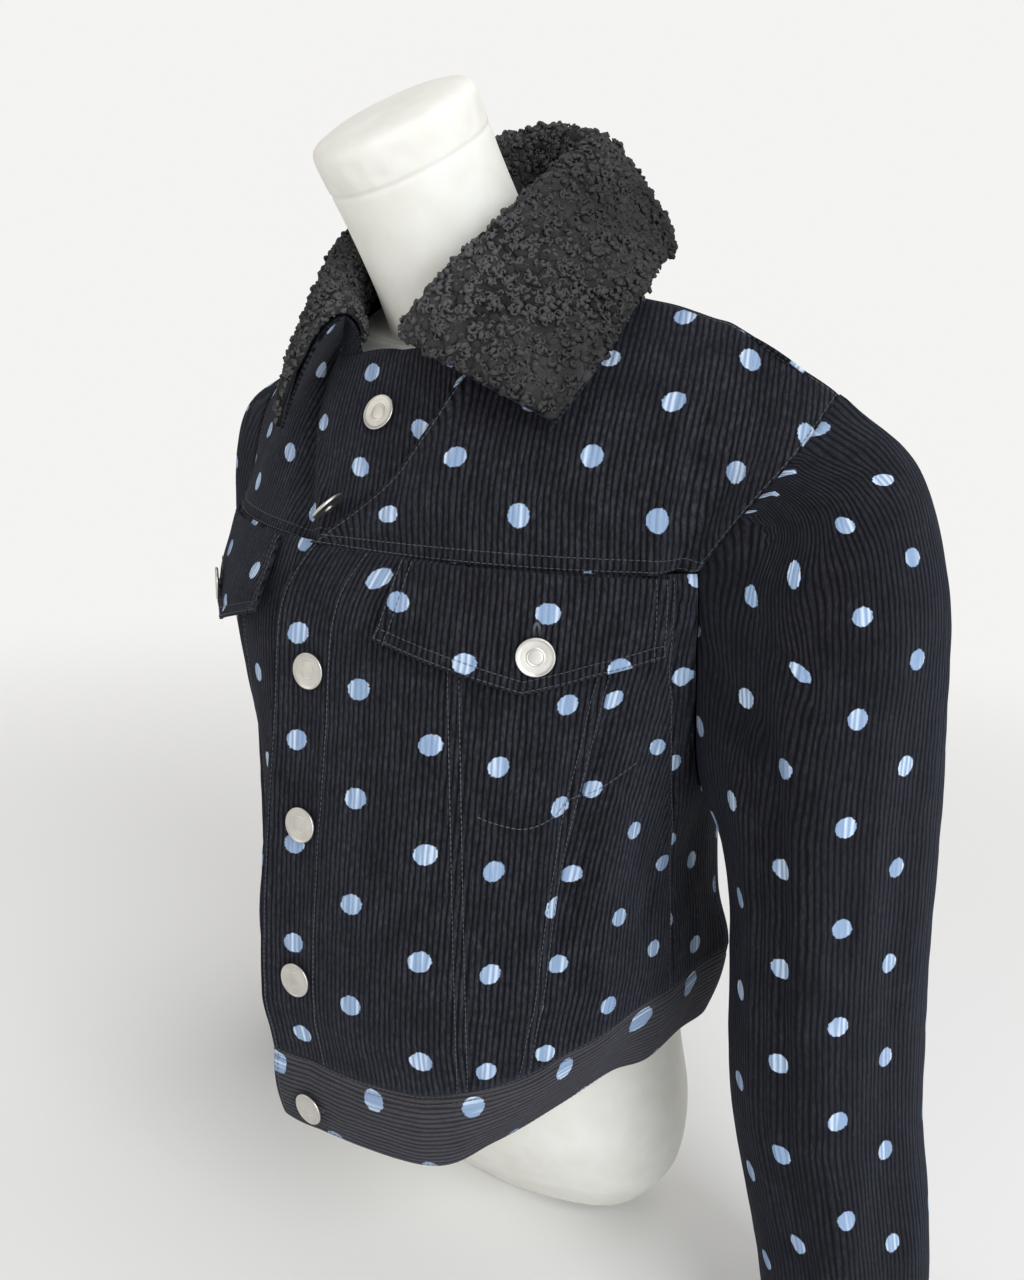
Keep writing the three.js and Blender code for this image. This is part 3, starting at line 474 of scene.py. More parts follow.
def fineGrainGroup():
    # fuzz or weave too small to model
    group, given, out = newGroup(
        "fineGrain",
        [("Place", "NodeSocketVector", None), ("Scale", "NodeSocketFloat", 900.0)],
        [("Height", "NodeSocketFloat"), ("Patch", "NodeSocketFloat")])
    scaled = group.nodes.new("ShaderNodeVectorMath")
    scaled.operation = "SCALE"
    group.links.new(given.outputs["Place"], scaled.inputs[0])
    group.links.new(given.outputs["Scale"], scaled.inputs["Scale"])
    group.links.new(noiseNode(group, scaled.outputs[0], 1.0, 4.0, 0.6), out.inputs["Height"])
    group.links.new(noiseNode(group, scaled.outputs[0], 0.03, 2.0), out.inputs["Patch"])
    return group


wales = waleGroup()
dots = dotGroup()
grain = fineGrainGroup()


def placeGroup(tree, group, **values):
    node = tree.nodes.new("ShaderNodeGroup")
    node.node_tree = group
    for label, value in values.items():
        if isinstance(value, (int, float)):
            node.inputs[label].default_value = value
        else:
            tree.links.new(value, node.inputs[label])
    return node


def startMaterial(name, roughness=0.9, metallic=0.0):
    material = bpy.data.materials.new(name)
    material.use_nodes = True
    tree = material.node_tree
    shader = tree.nodes["Principled BSDF"]
    shader.inputs["Roughness"].default_value = roughness
    shader.inputs["Metallic"].default_value = metallic
    return material, tree, shader


def bumpInto(tree, shader, height, distance):
    bump = tree.nodes.new("ShaderNodeBump")
    bump.inputs["Distance"].default_value = distance
    bump.inputs["Strength"].default_value = 1.0
    tree.links.new(height, bump.inputs["Height"])
    tree.links.new(bump.outputs["Normal"], shader.inputs["Normal"])


corduroyLook = {
    # the valley colour is painted shade between the wales, and also the colour of the random dark patches
    "valleyShadeAndPatch": (0.0022, 0.0022, 0.0030), "crest": (0.0185, 0.0185, 0.0245), "rubbed": (0.058, 0.058, 0.070),
    # the dot crest colour is a painted highlight: pale streaks along the wale crests inside the printed dots
    "lint": (0.13, 0.13, 0.145), "dot": (0.27, 0.375, 0.55), "dotCrestHighlight": (0.60, 0.71, 0.86),
    # the deep colour is painted shade, for the sleeves' darker copy of the cloth
    "deep": (0.003, 0.003, 0.0042), "dust": (0.13, 0.12, 0.125), "ribHeight": 0.00065,
}


def uvOf(tree, layer):
    node = tree.nodes.new("ShaderNodeUVMap")
    node.uv_map = layer
    return node.outputs["UV"]


def corduroyMaterial(name, worn=1.0, haze=0.0, deep=0.0):
    # worn: how far the crests are rubbed pale; haze: even dustiness; deep: painted shade, the whole cloth mixed
    # toward a dark colour
    look = corduroyLook
    material, tree, shader = startMaterial(name, 0.92)
    shader.inputs["Specular IOR Level"].default_value = 0.08
    shader.inputs["Sheen Weight"].default_value = 0.06
    shader.inputs["Sheen Roughness"].default_value = 0.5
    shader.inputs["Sheen Tint"].default_value = (0.6, 0.7, 1.0, 1)
    cloth = uvOf(tree, "cloth")
    rib = placeGroup(tree, wales, Cloth=cloth)
    fuzz = placeGroup(tree, grain, Place=cloth, Scale=1500.0)
    # painted shade: the cloth darkens from the crest colour to the valley colour between the wales, in place of
    # the wales' own shadow
    ground = mixColours(tree, rib.outputs["Crest"], look["valleyShadeAndPatch"], look["crest"])
    rubbed = noiseNode(tree, vectorNode(tree, "MULTIPLY", cloth, (620.0, 240.0, 0.0)), 1.0, 4.0, 0.7)
    rubbed = mathNode(tree, "MULTIPLY", rangeNode(tree, rubbed, 0.42, 0.72, 0.0, worn), rib.outputs["Crest"])
    ground = mixColours(tree, rubbed, ground, look["rubbed"])
    # random dark patches of the cloth, in the same colour as the painted valley shade
    patch = rangeNode(tree, fuzz.outputs["Patch"], 0.35, 0.7, 0.0, 0.45)
    ground = mixColours(tree, patch, ground, look["valleyShadeAndPatch"])
    # painted shade: the whole cloth mixed toward a darker colour
    if deep:
        ground = mixColours(tree, deep, ground, look["deep"])
    if haze:
        dust = mathNode(tree, "MULTIPLY", rangeNode(tree, rib.outputs["Crest"], 0.0, 1.0, 0.45, 1.25), haze)
        ground = mixColours(tree, dust, ground, look["dust"])
    fleck = noiseNode(tree, vectorNode(tree, "MULTIPLY", cloth, (1500.0, 700.0, 0.0)), 1.0, 2.0)
    fleck = mathNode(tree, "MULTIPLY", rangeNode(tree, fleck, 0.72, 0.80), 0.45)
    ground = mixColours(tree, fleck, ground, look["lint"])
    spot = placeGroup(tree, dots, Cloth=uvOf(tree, "print"))
    # painted highlight: pale streaks on the wale crests inside the printed dots, mixed into the dot's print
    # colour
    dotHighlightStripe = noiseNode(tree, vectorNode(tree, "MULTIPLY", cloth, (170.0, 14.0, 0.0)), 1.0, 1.0)
    dotHighlightStripe = mathNode(tree, "MULTIPLY", rangeNode(tree, dotHighlightStripe, 0.44, 0.56), rib.outputs["Crest"])
    dotInkAndHighlight = mixColours(tree, dotHighlightStripe, look["dot"], look["dotCrestHighlight"])
    ground = mixColours(tree, spot.outputs["Mask"], ground, dotInkAndHighlight)
    tree.links.new(ground, shader.inputs["Base Color"])
    bumpInto(tree, shader, rib.outputs["Height"], look["ribHeight"])
    return material


def plainCloth(name, low, high, scale, bump, roughness=0.9):
    material, tree, shader = startMaterial(name, roughness)
    shader.inputs["Specular IOR Level"].default_value = 0.2
    place = tree.nodes.new("ShaderNodeTexCoord").outputs["Object"]
    fuzz = placeGroup(tree, grain, Place=place, Scale=scale)
    colour = mixColours(tree, rangeNode(tree, fuzz.outputs["Patch"], 0.35, 0.65), low, high)
    tree.links.new(colour, shader.inputs["Base Color"])
    bumpInto(tree, shader, fuzz.outputs["Height"], bump)
    return material


def metalMaterial():
    material, tree, shader = startMaterial("satinNickel", 0.34, 1.0)
    place = tree.nodes.new("ShaderNodeTexCoord").outputs["Object"]
    fuzz = placeGroup(tree, grain, Place=place, Scale=2600.0)
    patch = rangeNode(tree, fuzz.outputs["Patch"], 0.3, 0.7)
    colour = mixColours(tree, patch, (0.52, 0.50, 0.455), (0.64, 0.62, 0.575))
    tree.links.new(colour, shader.inputs["Base Color"])
    tree.links.new(rangeNode(tree, fuzz.outputs["Height"], 0.3, 0.7, 0.28, 0.44), shader.inputs["Roughness"])
    bumpInto(tree, shader, fuzz.outputs["Height"], 0.00004)
    return material


corduroy = corduroyMaterial("corduroyPrint")
reverse = plainCloth("corduroyReverse", (0.006, 0.006, 0.009), (0.014, 0.014, 0.019), 2200.0, 0.0002)
pileCloth = plainCloth("sherpaPile", (0.012, 0.012, 0.012), (0.052, 0.051, 0.053), 700.0, 0.0014, 0.9)
curlCloth = plainCloth("sherpaCurl", (0.026, 0.0255, 0.026), (0.082, 0.081, 0.083), 260.0, 0.0002, 0.8)
threadCloth = plainCloth("navyThread", (0.062, 0.064, 0.075), (0.125, 0.128, 0.145), 300.0, 0.0001, 0.6)
formCloth = plainCloth("ivoryJersey", (0.73, 0.715, 0.655), (0.77, 0.76, 0.71), 1800.0, 0.00006, 0.8)
nickel = metalMaterial()
cloths = [corduroy, reverse]
wornCloths = [corduroyMaterial("corduroyBandWear", 1.0, 0.3), reverse]
# the sleeves' corduroy is a copy painted in shade: less rubbed on the crests and mixed toward a dark colour
shadedSleeveCloths = [corduroyMaterial("corduroySleeve", 0.7, 0.0, 0.3), reverse]
print("materials made")


def scatter(name, template, places, material):
    # many copies of one small mesh, each at its own place (4 x 4, in the millimetres of the tables)
    holder = bpy.data.objects.new(name, template)
    bpy.context.scene.collection.objects.link(holder)
    copies = holder.modifiers.new("copies", "ARRAY")
    copies.count = len(places)
    copies.use_relative_offset = False
    copies.use_constant_offset = True
    copies.constant_offset_displace = (0, 0, 0)
    bpy.context.view_layer.update()
    whole = bpy.data.meshes.new_from_object(holder.evaluated_get(bpy.context.evaluated_depsgraph_get()))
    bpy.data.objects.remove(holder)
    count = len(template.vertices)
    own = np.ones((count, 4))
    flat = np.empty(count * 3)
    template.vertices.foreach_get("co", flat)
    own[:, :3] = flat.reshape(-1, 3)
    spots = np.einsum("kab,vb->kva", np.asarray(places), own)[..., :3]
    whole.vertices.foreach_set("co", ((spots.reshape(-1, 3) + shift) / 1000).ravel())
    whole.update()
    whole.name = name
    whole.materials.clear()
    whole.shade_smooth()
    piece = linkMesh(name, whole, material)
    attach(piece, "root")


# lower panels
# tops: angle of each column at the top edge; ref: the column that the wales follow; print: see printPlace
lowerPanels = [
    dict(node="left_centre_panel", side="left", start="leftEdge", end="leftCentre", lap="over",
         tops=[-6.4, 0, 8, 16, 24, 31, 35], sub=7, ref=0.18,
         print=((0.79, 0.02, -5), (-0.14, 0.92, 37)), dips="rt"),
    dict(node="left_v_panel", side="left", start="leftCentre", end="leftChest", lap="over",
         tops=[35, 41, 47, 52, 57, 63], sub=6, ref=0.5,
         print=((0.97, 0.04, 0), (-0.18, 0.96, 16)), dips="lrt"),
    dict(node="left_side_panel", side="left", start="leftChest", end="leftSide", lap="over",
         tops=[63, 65.5, 68.5, 71.6], sub=9, ref=0.0, print=((0.96, 0.01, -8), (0.14, 1.1, -22)), dips="lrt"),
    dict(node="left_underarm_panel", side="left", start="leftSide", end="leftRear", lap="over",
         tops=[71.6, 75, 76, 78, 81, 85.5, 90, 95, 100, 105, 109, 112], sub=4, ref=0.6,
         print=((1, 0, 27), (0, 1, 6)), dips="lrt"),
    dict(node="right_centre_panel", side="right", start="rightEdge", end="rightCentre", lap="under",
         tops=[12, 5, -3, -10, -18, -27, -35], sub=6, ref=0.0, print=((1, 0, 14), (0, 1, 11)), dips="rt"),
    dict(node="right_v_panel", side="right", start="rightCentre", end="rightChest", lap="under",
         tops=[-35, -41, -47, -52, -57, -63], sub=6, ref=0.5, print=((1, 0, 20), (0, 1, 10)), dips="lrt"),
    dict(node="right_side_panel", side="right", start="rightChest", end="rightSide", lap="under",
         tops=[-63, -67, -71, -75.6], sub=8, ref=0.0, print=((1, 0, 10), (0, 1, 30)), dips="lrt"),
    dict(node="right_underarm_panel", side="right", start="rightSide", end="rightRear", lap="under",
         tops=[-75.6, -79, -80, -82, -85, -89, -93.5, -98, -103, -107, -110.5, -113], sub=4, ref=0.6,
         print=((1, 0, 5), (0, 1, 12)), dips="lrt"),
]
panelRows = 66


def fillIn(values, sub):
    steps = np.arange((len(values) - 1) * sub + 1) / sub
    return np.interp(steps, np.arange(len(values)), values)


def panelCloth(plan, deg, z, refColumn, uneven, furrows):
    # uneven: amount, size and seed of each noise; furrows: edge, inset and depth
    seam = np.degrees(cut["seamGap"] / 2 / ringRadius(wrapDeg(deg), z)) * np.sign(deg[:, -1:] - deg[:, :1])
    deg[:, 0] += seam[:, 0]
    deg[:, -1] -= seam[:, -1]
    flat = body(deg, z, plan["lap"])
    n = bodyNormal(deg, z, plan["lap"])
    uv = acrossAndAlong(flat, refColumn, z[0])
    lift = bodyCreases(deg, z) + edgeDip(flat, plan["dips"])
    lift += sum(amount * roughness(flat, size, seed) for amount, size, seed in uneven)
    lift += sum(channel(flat, *furrow) for furrow in furrows)
    lift *= np.minimum(1, fromEdge(flat, "b") / 12)
    points = meetSeams(flat + n * lift[..., None], plan["dips"] + "b")
    piece = clothPiece(plan["node"], points, n, uv, cut["panelWall"], cloths,
                       printed=printPlace(uv, plan["print"]))
    return points, n


def lowerPanel(plan):
    tops = fillIn(plan["tops"], plan["sub"])
    zTop = panelTop(tops, plan["side"])
    a, b = seamAt(plan["start"], zTop), seamAt(plan["end"], zTop)
    share = (tops - a) / (b - a)
    share[0], share[-1] = 0, 1

    def angleAt(z):
        return mix(seamAt(plan["start"], z), seamAt(plan["end"], z), share)

    foot = angleAt(np.full(len(share), 230.0))
    for _ in range(12):
        foot = angleAt(bandTop(foot) + cut["seamGap"])
    low = bandTop(foot) + cut["seamGap"]
    v = np.linspace(0, 1, panelRows + 1)[:, None]
    z = mix(low[None, :], zTop[None, :], v)
    furrows = [("r", 7.5)] + [("l", 38, 0.3)] * (plan["start"] == "leftEdge")
    plan = dict(plan, hungFrom=plan["side"] + "_front_yoke")
    ref = int(round(plan["ref"] * (len(share) - 1)))
    return panelCloth(plan, angleAt(z), z, ref, ((0.5, 45, 3.0), (0.35, 11, 1.0)), furrows)


built = {}
for plan in lowerPanels:
    built[plan["node"]] = lowerPanel(plan)


# back panel
backPlan = {
    "angles": [112, 113.6, 115, 123, 132, 141, 150, 160, 170, 180,
               190, 200, 210, 219, 228, 237, 244, 245.6, 247],
    "sub": 7, "print": ((1, 0, 8), (0, 1, 4)), "node": "back_panel", "lap": "over", "dips": "lrt",
    "hungFrom": "back_yoke",
}


def backPanel():
    deg = fillIn(backPlan["angles"], backPlan["sub"])
    zTop = np.where(deg < 180, panelTop(deg, "left"), panelTop(deg - 360, "right"))
    low = bandTop(deg) + cut["seamGap"]
    v = np.linspace(0, 1, panelRows + 1)[:, None]
    z = mix(low[None, :], zTop[None, :], v)
    deg = np.repeat(deg[None, :], len(v), 0)
    return panelCloth(backPlan, deg, z, deg.shape[1] // 2, ((0.6, 50, 8.0),), ())


built["back_panel"] = backPanel()
print("lower panels made")


# yokes
yokes = {
    # angle, lower x y z, upper x y z, top x y z
    "left_front_yoke": [
        [-6.4, 20, -109, 510, 36, -97, 538, 48, -88, 566], [11.4, 44, -113, 512, 53, -95, 545, 58, -70, 580],
        [28.8, 72, -106, 515, 75, -82, 552, 72, -38, 598], [45.5, 104, -94, 520, 101, -66, 562, 92, 0, 614],
        [58.7, 136, -78, 520, 132, -50, 562, 128, 0, 608], [68.4, 165, -54, 518, 168, -34, 556, 170, 1, 594],
        [75, 196, -50, 510, 212, -30, 540, 216, 4, 568]],
    "right_front_yoke": [
        [12, 38, -102, 510, 46, -89, 538, 54, -78, 564], [0, 0, -110, 507, 0, -95, 540, 0, -78, 580],
        [-9.5, -30, -104, 512, -44, -87, 545, -58, -64, 577],
        [-28.6, -68, -88, 515, -76, -62, 552, -80, -33, 597],
        [-48, -104, -76, 520, -100, -48, 562, -92, 0, 614],
        [-64, -138, -52, 518, -134, -28, 560, -126, 8, 606],
        [-73, -166, -32, 518, -168, -8, 556, -162, 18, 593],
        [-79, -184, -22, 510, -194, -2, 542, -198, 30, 566]],
    "back_yoke": [
        [115, 182, 76, 510, 202, 58, 542, 216, 4, 568], [127, 156, 98, 518, 164, 70, 558, 170, 1, 594],
        [141, 115, 114, 522, 122, 80, 570, 128, 0, 608], [156, 72, 126, 525, 78, 88, 582, 92, 0, 614],
        [167, 42, 130, 526, 50, 96, 594, 60, 38, 630], [180, 0, 131, 527, 0, 100, 598, 0, 56, 640],
        [193, -42, 130, 526, -50, 96, 594, -60, 38, 630], [204, -72, 126, 525, -78, 90, 582, -92, 0, 614],
        [219, -113, 118, 522, -120, 86, 570, -126, 8, 606], [233, -146, 106, 518, -156, 82, 556, -162, 18, 593],
        [244, -172, 90, 510, -190, 70, 542, -198, 30, 566]],
}
yokeStretches = {"left_front_yoke": [(0, 3), (3, 6)], "right_front_yoke": [(0, 4), (4, 7)],
                 "back_yoke": [(0, 3), (3, 7), (7, 10)]}
yokePlans = [
    dict(node="left_front_yoke", lap="over", cols=96, rows=44, ref=0.42, lean=0.2,
         print=((0.97, 0.23, 13), (-0.01, 0.86, 5)), dips="brt"),
    dict(node="right_front_yoke", lap="under", cols=98, rows=44, ref=0.2, lean=0,
         print=((0.85, -0.09, 14), (-0.05, 0.99, 11)), dips="brt"),
    dict(node="back_yoke", lap="over", cols=180, rows=48, ref=0.5, lean=0,
         print=((1, 0, 12), (0, 1, 6)), dips="lbrt"),
]
# u, v, lean, half width, half length in mm, depth
yokeCreases = {
    "left_front_yoke": [[0.55, 0.55, 0.5, 9, 34, -1.0], [0.8, 0.3, -0.06, 5, 90, 3.6],
                        [0.9, 0.4, -0.05, 9, 70, -7.5]],
    "right_front_yoke": [[0.27, 0.1, 0.42, 5, 90, 2.2], [0.34, 0.1, 0.42, 8, 90, -5.5],
                         [0.75, 0.5, 0.2, 7, 30, -1.4]],
    "back_yoke": [[0.12, 0.5, 0.2, 8, 34, -1.6], [0.3, 0.5, -0.3, 9, 30, -1.4], [0.5, 0.72, 0, 12, 14, -1.2],
                  [0.7, 0.5, 0.3, 9, 32, -1.5], [0.88, 0.45, -0.2, 8, 30, -1.6]],
}


def yokeTop(name, across):
    table = np.array(yokes[name], float)
    across = np.asarray(across, float)
    out = np.zeros(across.shape + (3,))
    for start, end in yokeStretches[name]:
        inside = (across >= start - 1e-6) & (across <= end + 1e-6)
        top = smoothRows(table[start:end + 1, 7:10], across - start)
        out = np.where(inside[..., None], top, out)
    return out


def yokePoint(name, u, v, lap):
    table = np.array(yokes[name], float)
    u, v = np.broadcast_arrays(np.asarray(u, float), np.asarray(v, float))
    across = u * (len(table) - 1)
    deg = smoothRows(table[:, :1], across)[..., 0]
    row = smoothRows(table[:, 1:7], across)
    knots = [body(deg, cut["yokeSeam"] + cut["seamGap"], lap), row[..., :3], row[..., 3:], yokeTop(name, across)]
    knots = [2 * knots[0] - knots[1]] + knots + [2 * knots[-1] - knots[-2]]
    s = np.clip(v * 3, 0, 3 - 1e-9)
    i = np.floor(s).astype(int)
    f = (s - i)[..., None]
    return curveThrough(*(np.choose(np.repeat((i + k)[..., None], 3, -1), knots) for k in range(4)), f)


def yokePiece(plan):
    name = plan["node"]
    u, v = np.meshgrid(np.linspace(0, 1, plan["cols"] + 1), np.linspace(0, 1, plan["rows"] + 1))
    flat = yokePoint(name, u, v, plan["lap"])
    if name == "back_yoke":
        rim = (v > 1 - 1e-6) & (np.abs(flat[..., 0]) > 85)
        flat[..., 1] += np.where(rim, cut["seamGap"], 0)
    if name == "right_front_yoke":
        # the under end of the neckline stands up behind the collar
        flat[..., 2] += 17 * np.clip(1 - u / 0.14, 0, 1) * v**3
    n = facing(flat, chest)
    ref = int(round(plan["ref"] * plan["cols"]))
    uv = acrossAndAlong(flat, ref, np.zeros(plan["cols"] + 1))
    width = np.ptp(uv[0][0])
    lift = edgeDip(flat, plan["dips"]) + 0.6 * roughness(flat, 42, 5.0) + 0.35 * roughness(flat, 12, 2.0)
    lift += channel(flat, "b", 7.5, 0.6)
    if name == "left_front_yoke":
        lift += 1.8 * bell(fromEdge(flat, "l") / 9)
    for at, high, lean, halfWidth, halfLength, depth in yokeCreases[name]:
        up = (v - high) * 115
        lift += depth * bell(((u - at) * width - lean * up) / halfWidth) * bell(up / halfLength)
    points = meetSeams(flat + n * lift[..., None], plan["dips"])
    ribs = (uv[0] + plan["lean"] * uv[1], uv[1])
    piece = clothPiece(name, points, n, ribs, cut["panelWall"], cloths, printed=printPlace(uv, plan["print"]))
    return points, n


for plan in yokePlans:
    built[plan["node"]] = yokePiece(plan)
print("yokes made")


# waistband
bandPlan = {
    "cols": 400, "rows": 16,
    # distance along the band, place in the print
    "print": [[0, 0], [11, 9], [83, 60], [144, 116], [188, 163],
              [225, 207], [290, 268], [500, 478], [1100, 1080]],
    "printRise": 31, "printStretch": 0.72,
}


def bandPoint(turn, v):
    deg = wrapDeg(turn)
    under = turn > -60
    hem = hemPoint(deg)
    zTop = bandTop(deg)
    top = np.where(under[..., None], body(deg, zTop, "under"), body(deg, zTop, "over"))
    r = np.hypot(hem[..., 0], hem[..., 1])
    k = 1 - cut["lapInset"] * bell(np.minimum(0, deg) / 12) / r
    foot = np.where(under[..., None], hem * np.stack([k, k, k * 0 + 1], -1), hem)
    lapped = ~under & (deg < 0) & (deg > -30)
    front = hemPoint(deg * 0)[..., 1]
    ends = np.stack([-np.abs(25 * deg / 9.6), front - 2.5 * np.abs(deg) / 9.6, hem[..., 2]], -1)
    foot = np.where(lapped[..., None], ends, foot)
    out = unit(top * np.array([1, 1, 0]))
    return mix(foot, top, v[..., None]) + out * (2.5 * np.sin(np.pi * v))[..., None]


def waistband():
    start, end = 10.5, -360 + float(seamAt("leftEdge", np.array(180.0)))
    rows = bandPlan["rows"]
    turn, v = np.meshgrid(np.linspace(start, end, bandPlan["cols"] + 1), np.linspace(0, 1, rows + 1))
    flat = bandPoint(turn, v)
    n = facing(flat, np.array([0, 0, 190.0]))
    along = lengthRun(flat, 1)
    along = along[:, -1:] - along
    rise = lengthRun(flat, 0)
    middle = np.repeat(along[rows // 2][None, :], len(flat), 0)
    uv = (rise, middle)
    spots = (rise * bandPlan["printStretch"] - bandPlan["printRise"],
             lookUp(bandPlan["print"], middle)[..., 0])
    ripple = roughness(flat * np.array([1, 1, 0.3]), 16, 2.0) * np.sin(np.pi * np.clip(v * 1.1, 0, 1))
    lift = 0.85 * ripple + channel(flat, "t", 7, 0.7)
    lift += edgeDip(flat, "t", 2.2, 0.7) + edgeDip(flat, "b", 1.8, 0.5)
    points = meetSeams(flat + n * lift[..., None], "t")
    piece = clothPiece("waistband", points, n, uv, cut["bandWall"], wornCloths, printed=spots)
    return points, n


built["waistband"] = waistband()


# sleeves and cuffs
sleeves = {
    # along, x, y, z, rise of the outer side, half width, half depth
    "left": [
        [0.08, 206, 9, 446, 100, 39, 61], [0.16, 217, 10, 428, 90, 47, 64], [0.26, 227, 10, 400, 68, 51, 66],
        [0.38, 233, 11, 362, 40, 51, 67], [0.5, 238, 12, 315, 18, 50, 66], [0.62, 241, 14, 260, 4, 50, 66],
        [0.76, 247, 15, 191, 0, 50, 64], [0.89, 264, 15, 116, 0, 47, 59], [1, 274, 15, 54, 0, 43, 53]],
    "right": [
        [0.08, -200, 34, 446, 98, 34, 54], [0.16, -206, 46, 428, 88, 39, 56], [0.26, -210, 55, 400, 66, 43, 58],
        [0.38, -209, 65, 362, 38, 45, 60], [0.5, -205, 71, 315, 18, 47, 61], [0.62, -206, 75, 260, 4, 48, 62],
        [0.76, -207, 78, 191, 0, 48, 61], [0.89, -209, 80, 116, 0, 45, 57], [1, -211, 82, 54, 0, 42, 52]],
    # angle, drift, half angle, depth, from, to
    "folds": [[78, -14, 12, 6, 0.05, 1], [112, -22, 12, 7, 0.1, 0.8], [96, -20, 9, -3, 0.1, 0.95],
              [205, 10, 16, -6, 0.15, 0.9], [262, 8, 13, 5, 0.1, 0.95], [310, -6, 15, -5, 0.2, 0.9],
              [20, 10, 18, -4, 0.25, 1]],
    # angle, along, lean in degrees per step, half angle, half length, depth: small creases at elbow and cap
    "creases": [[99, 0.45, -12, 6, 0.42, -7.5], [80, 0.45, -12, 6, 0.45, 3.8],
                [60, 0.55, 60, 7, 0.08, -1.8], [130, 0.5, -70, 7, 0.09, -2.0], [170, 0.6, 80, 8, 0.08, -1.8],
                [230, 0.55, -60, 8, 0.1, -2.0], [300, 0.5, 60, 8, 0.1, -1.6], [20, 0.62, -50, 7, 0.08, -1.4],
                [100, 0.2, 40, 6, 0.09, -1.4], [340, 0.25, 30, 7, 0.1, -1.4], [50, 0.8, 30, 8, 0.1, 1.4],
                [150, 0.85, -40, 8, 0.09, 1.5], [250, 0.82, 30, 8, 0.1, 1.4]],
    "leftLow": [75, 76, 78, 81, 85.5, 90, 95, 100, 105, 109, 112, 113.6, 115],
    "rightLow": [-79, -80, -82, -85, -89, -93.5, -98, -103, -107, -110.5, -113, -114.4, -116],
    "rows": 120, "capStart": 362, "meanRadius": 60, "leftPrint": ((1, 0, -92), (0, 1.03, -26)),
    "rightPrint": ((1, 0, 14), (0, 1, 20)),
}


def armholeSide(name, edge, column, lap):
    # points and normals down one side of the armhole, along that edge of a yoke
    def at(u, v):
        return yokePoint(name, np.full(len(column), u), v, lap)

    points = at(edge, column)
    up = at(edge, np.minimum(column + 0.02, 1)) - at(edge, np.maximum(column - 0.02, 0))
    return points, unit(np.cross(points - at(abs(edge - 0.004), column), up))


def armholeLoop(side):
    lap = "over" if side == "left" else "under"
    front = armholeSide(side + "_front_yoke", 1.0, np.linspace(1, 0, 26)[:-1], lap)
    low = fillIn(sleeves[side + "Low"], 4)
    z = panelTop(low, side)
    rear = armholeSide("back_yoke", 0.0 if side == "left" else 1.0, np.linspace(0, 1, 26)[1:-1], "over")
    parts = zip(front, (body(low, z, lap), bodyNormal(low, z, lap)), rear)
    points, normals = (np.concatenate(part) for part in parts)
    return points, normals * np.sign(np.sum(normals * (points - chest), -1, keepdims=True))


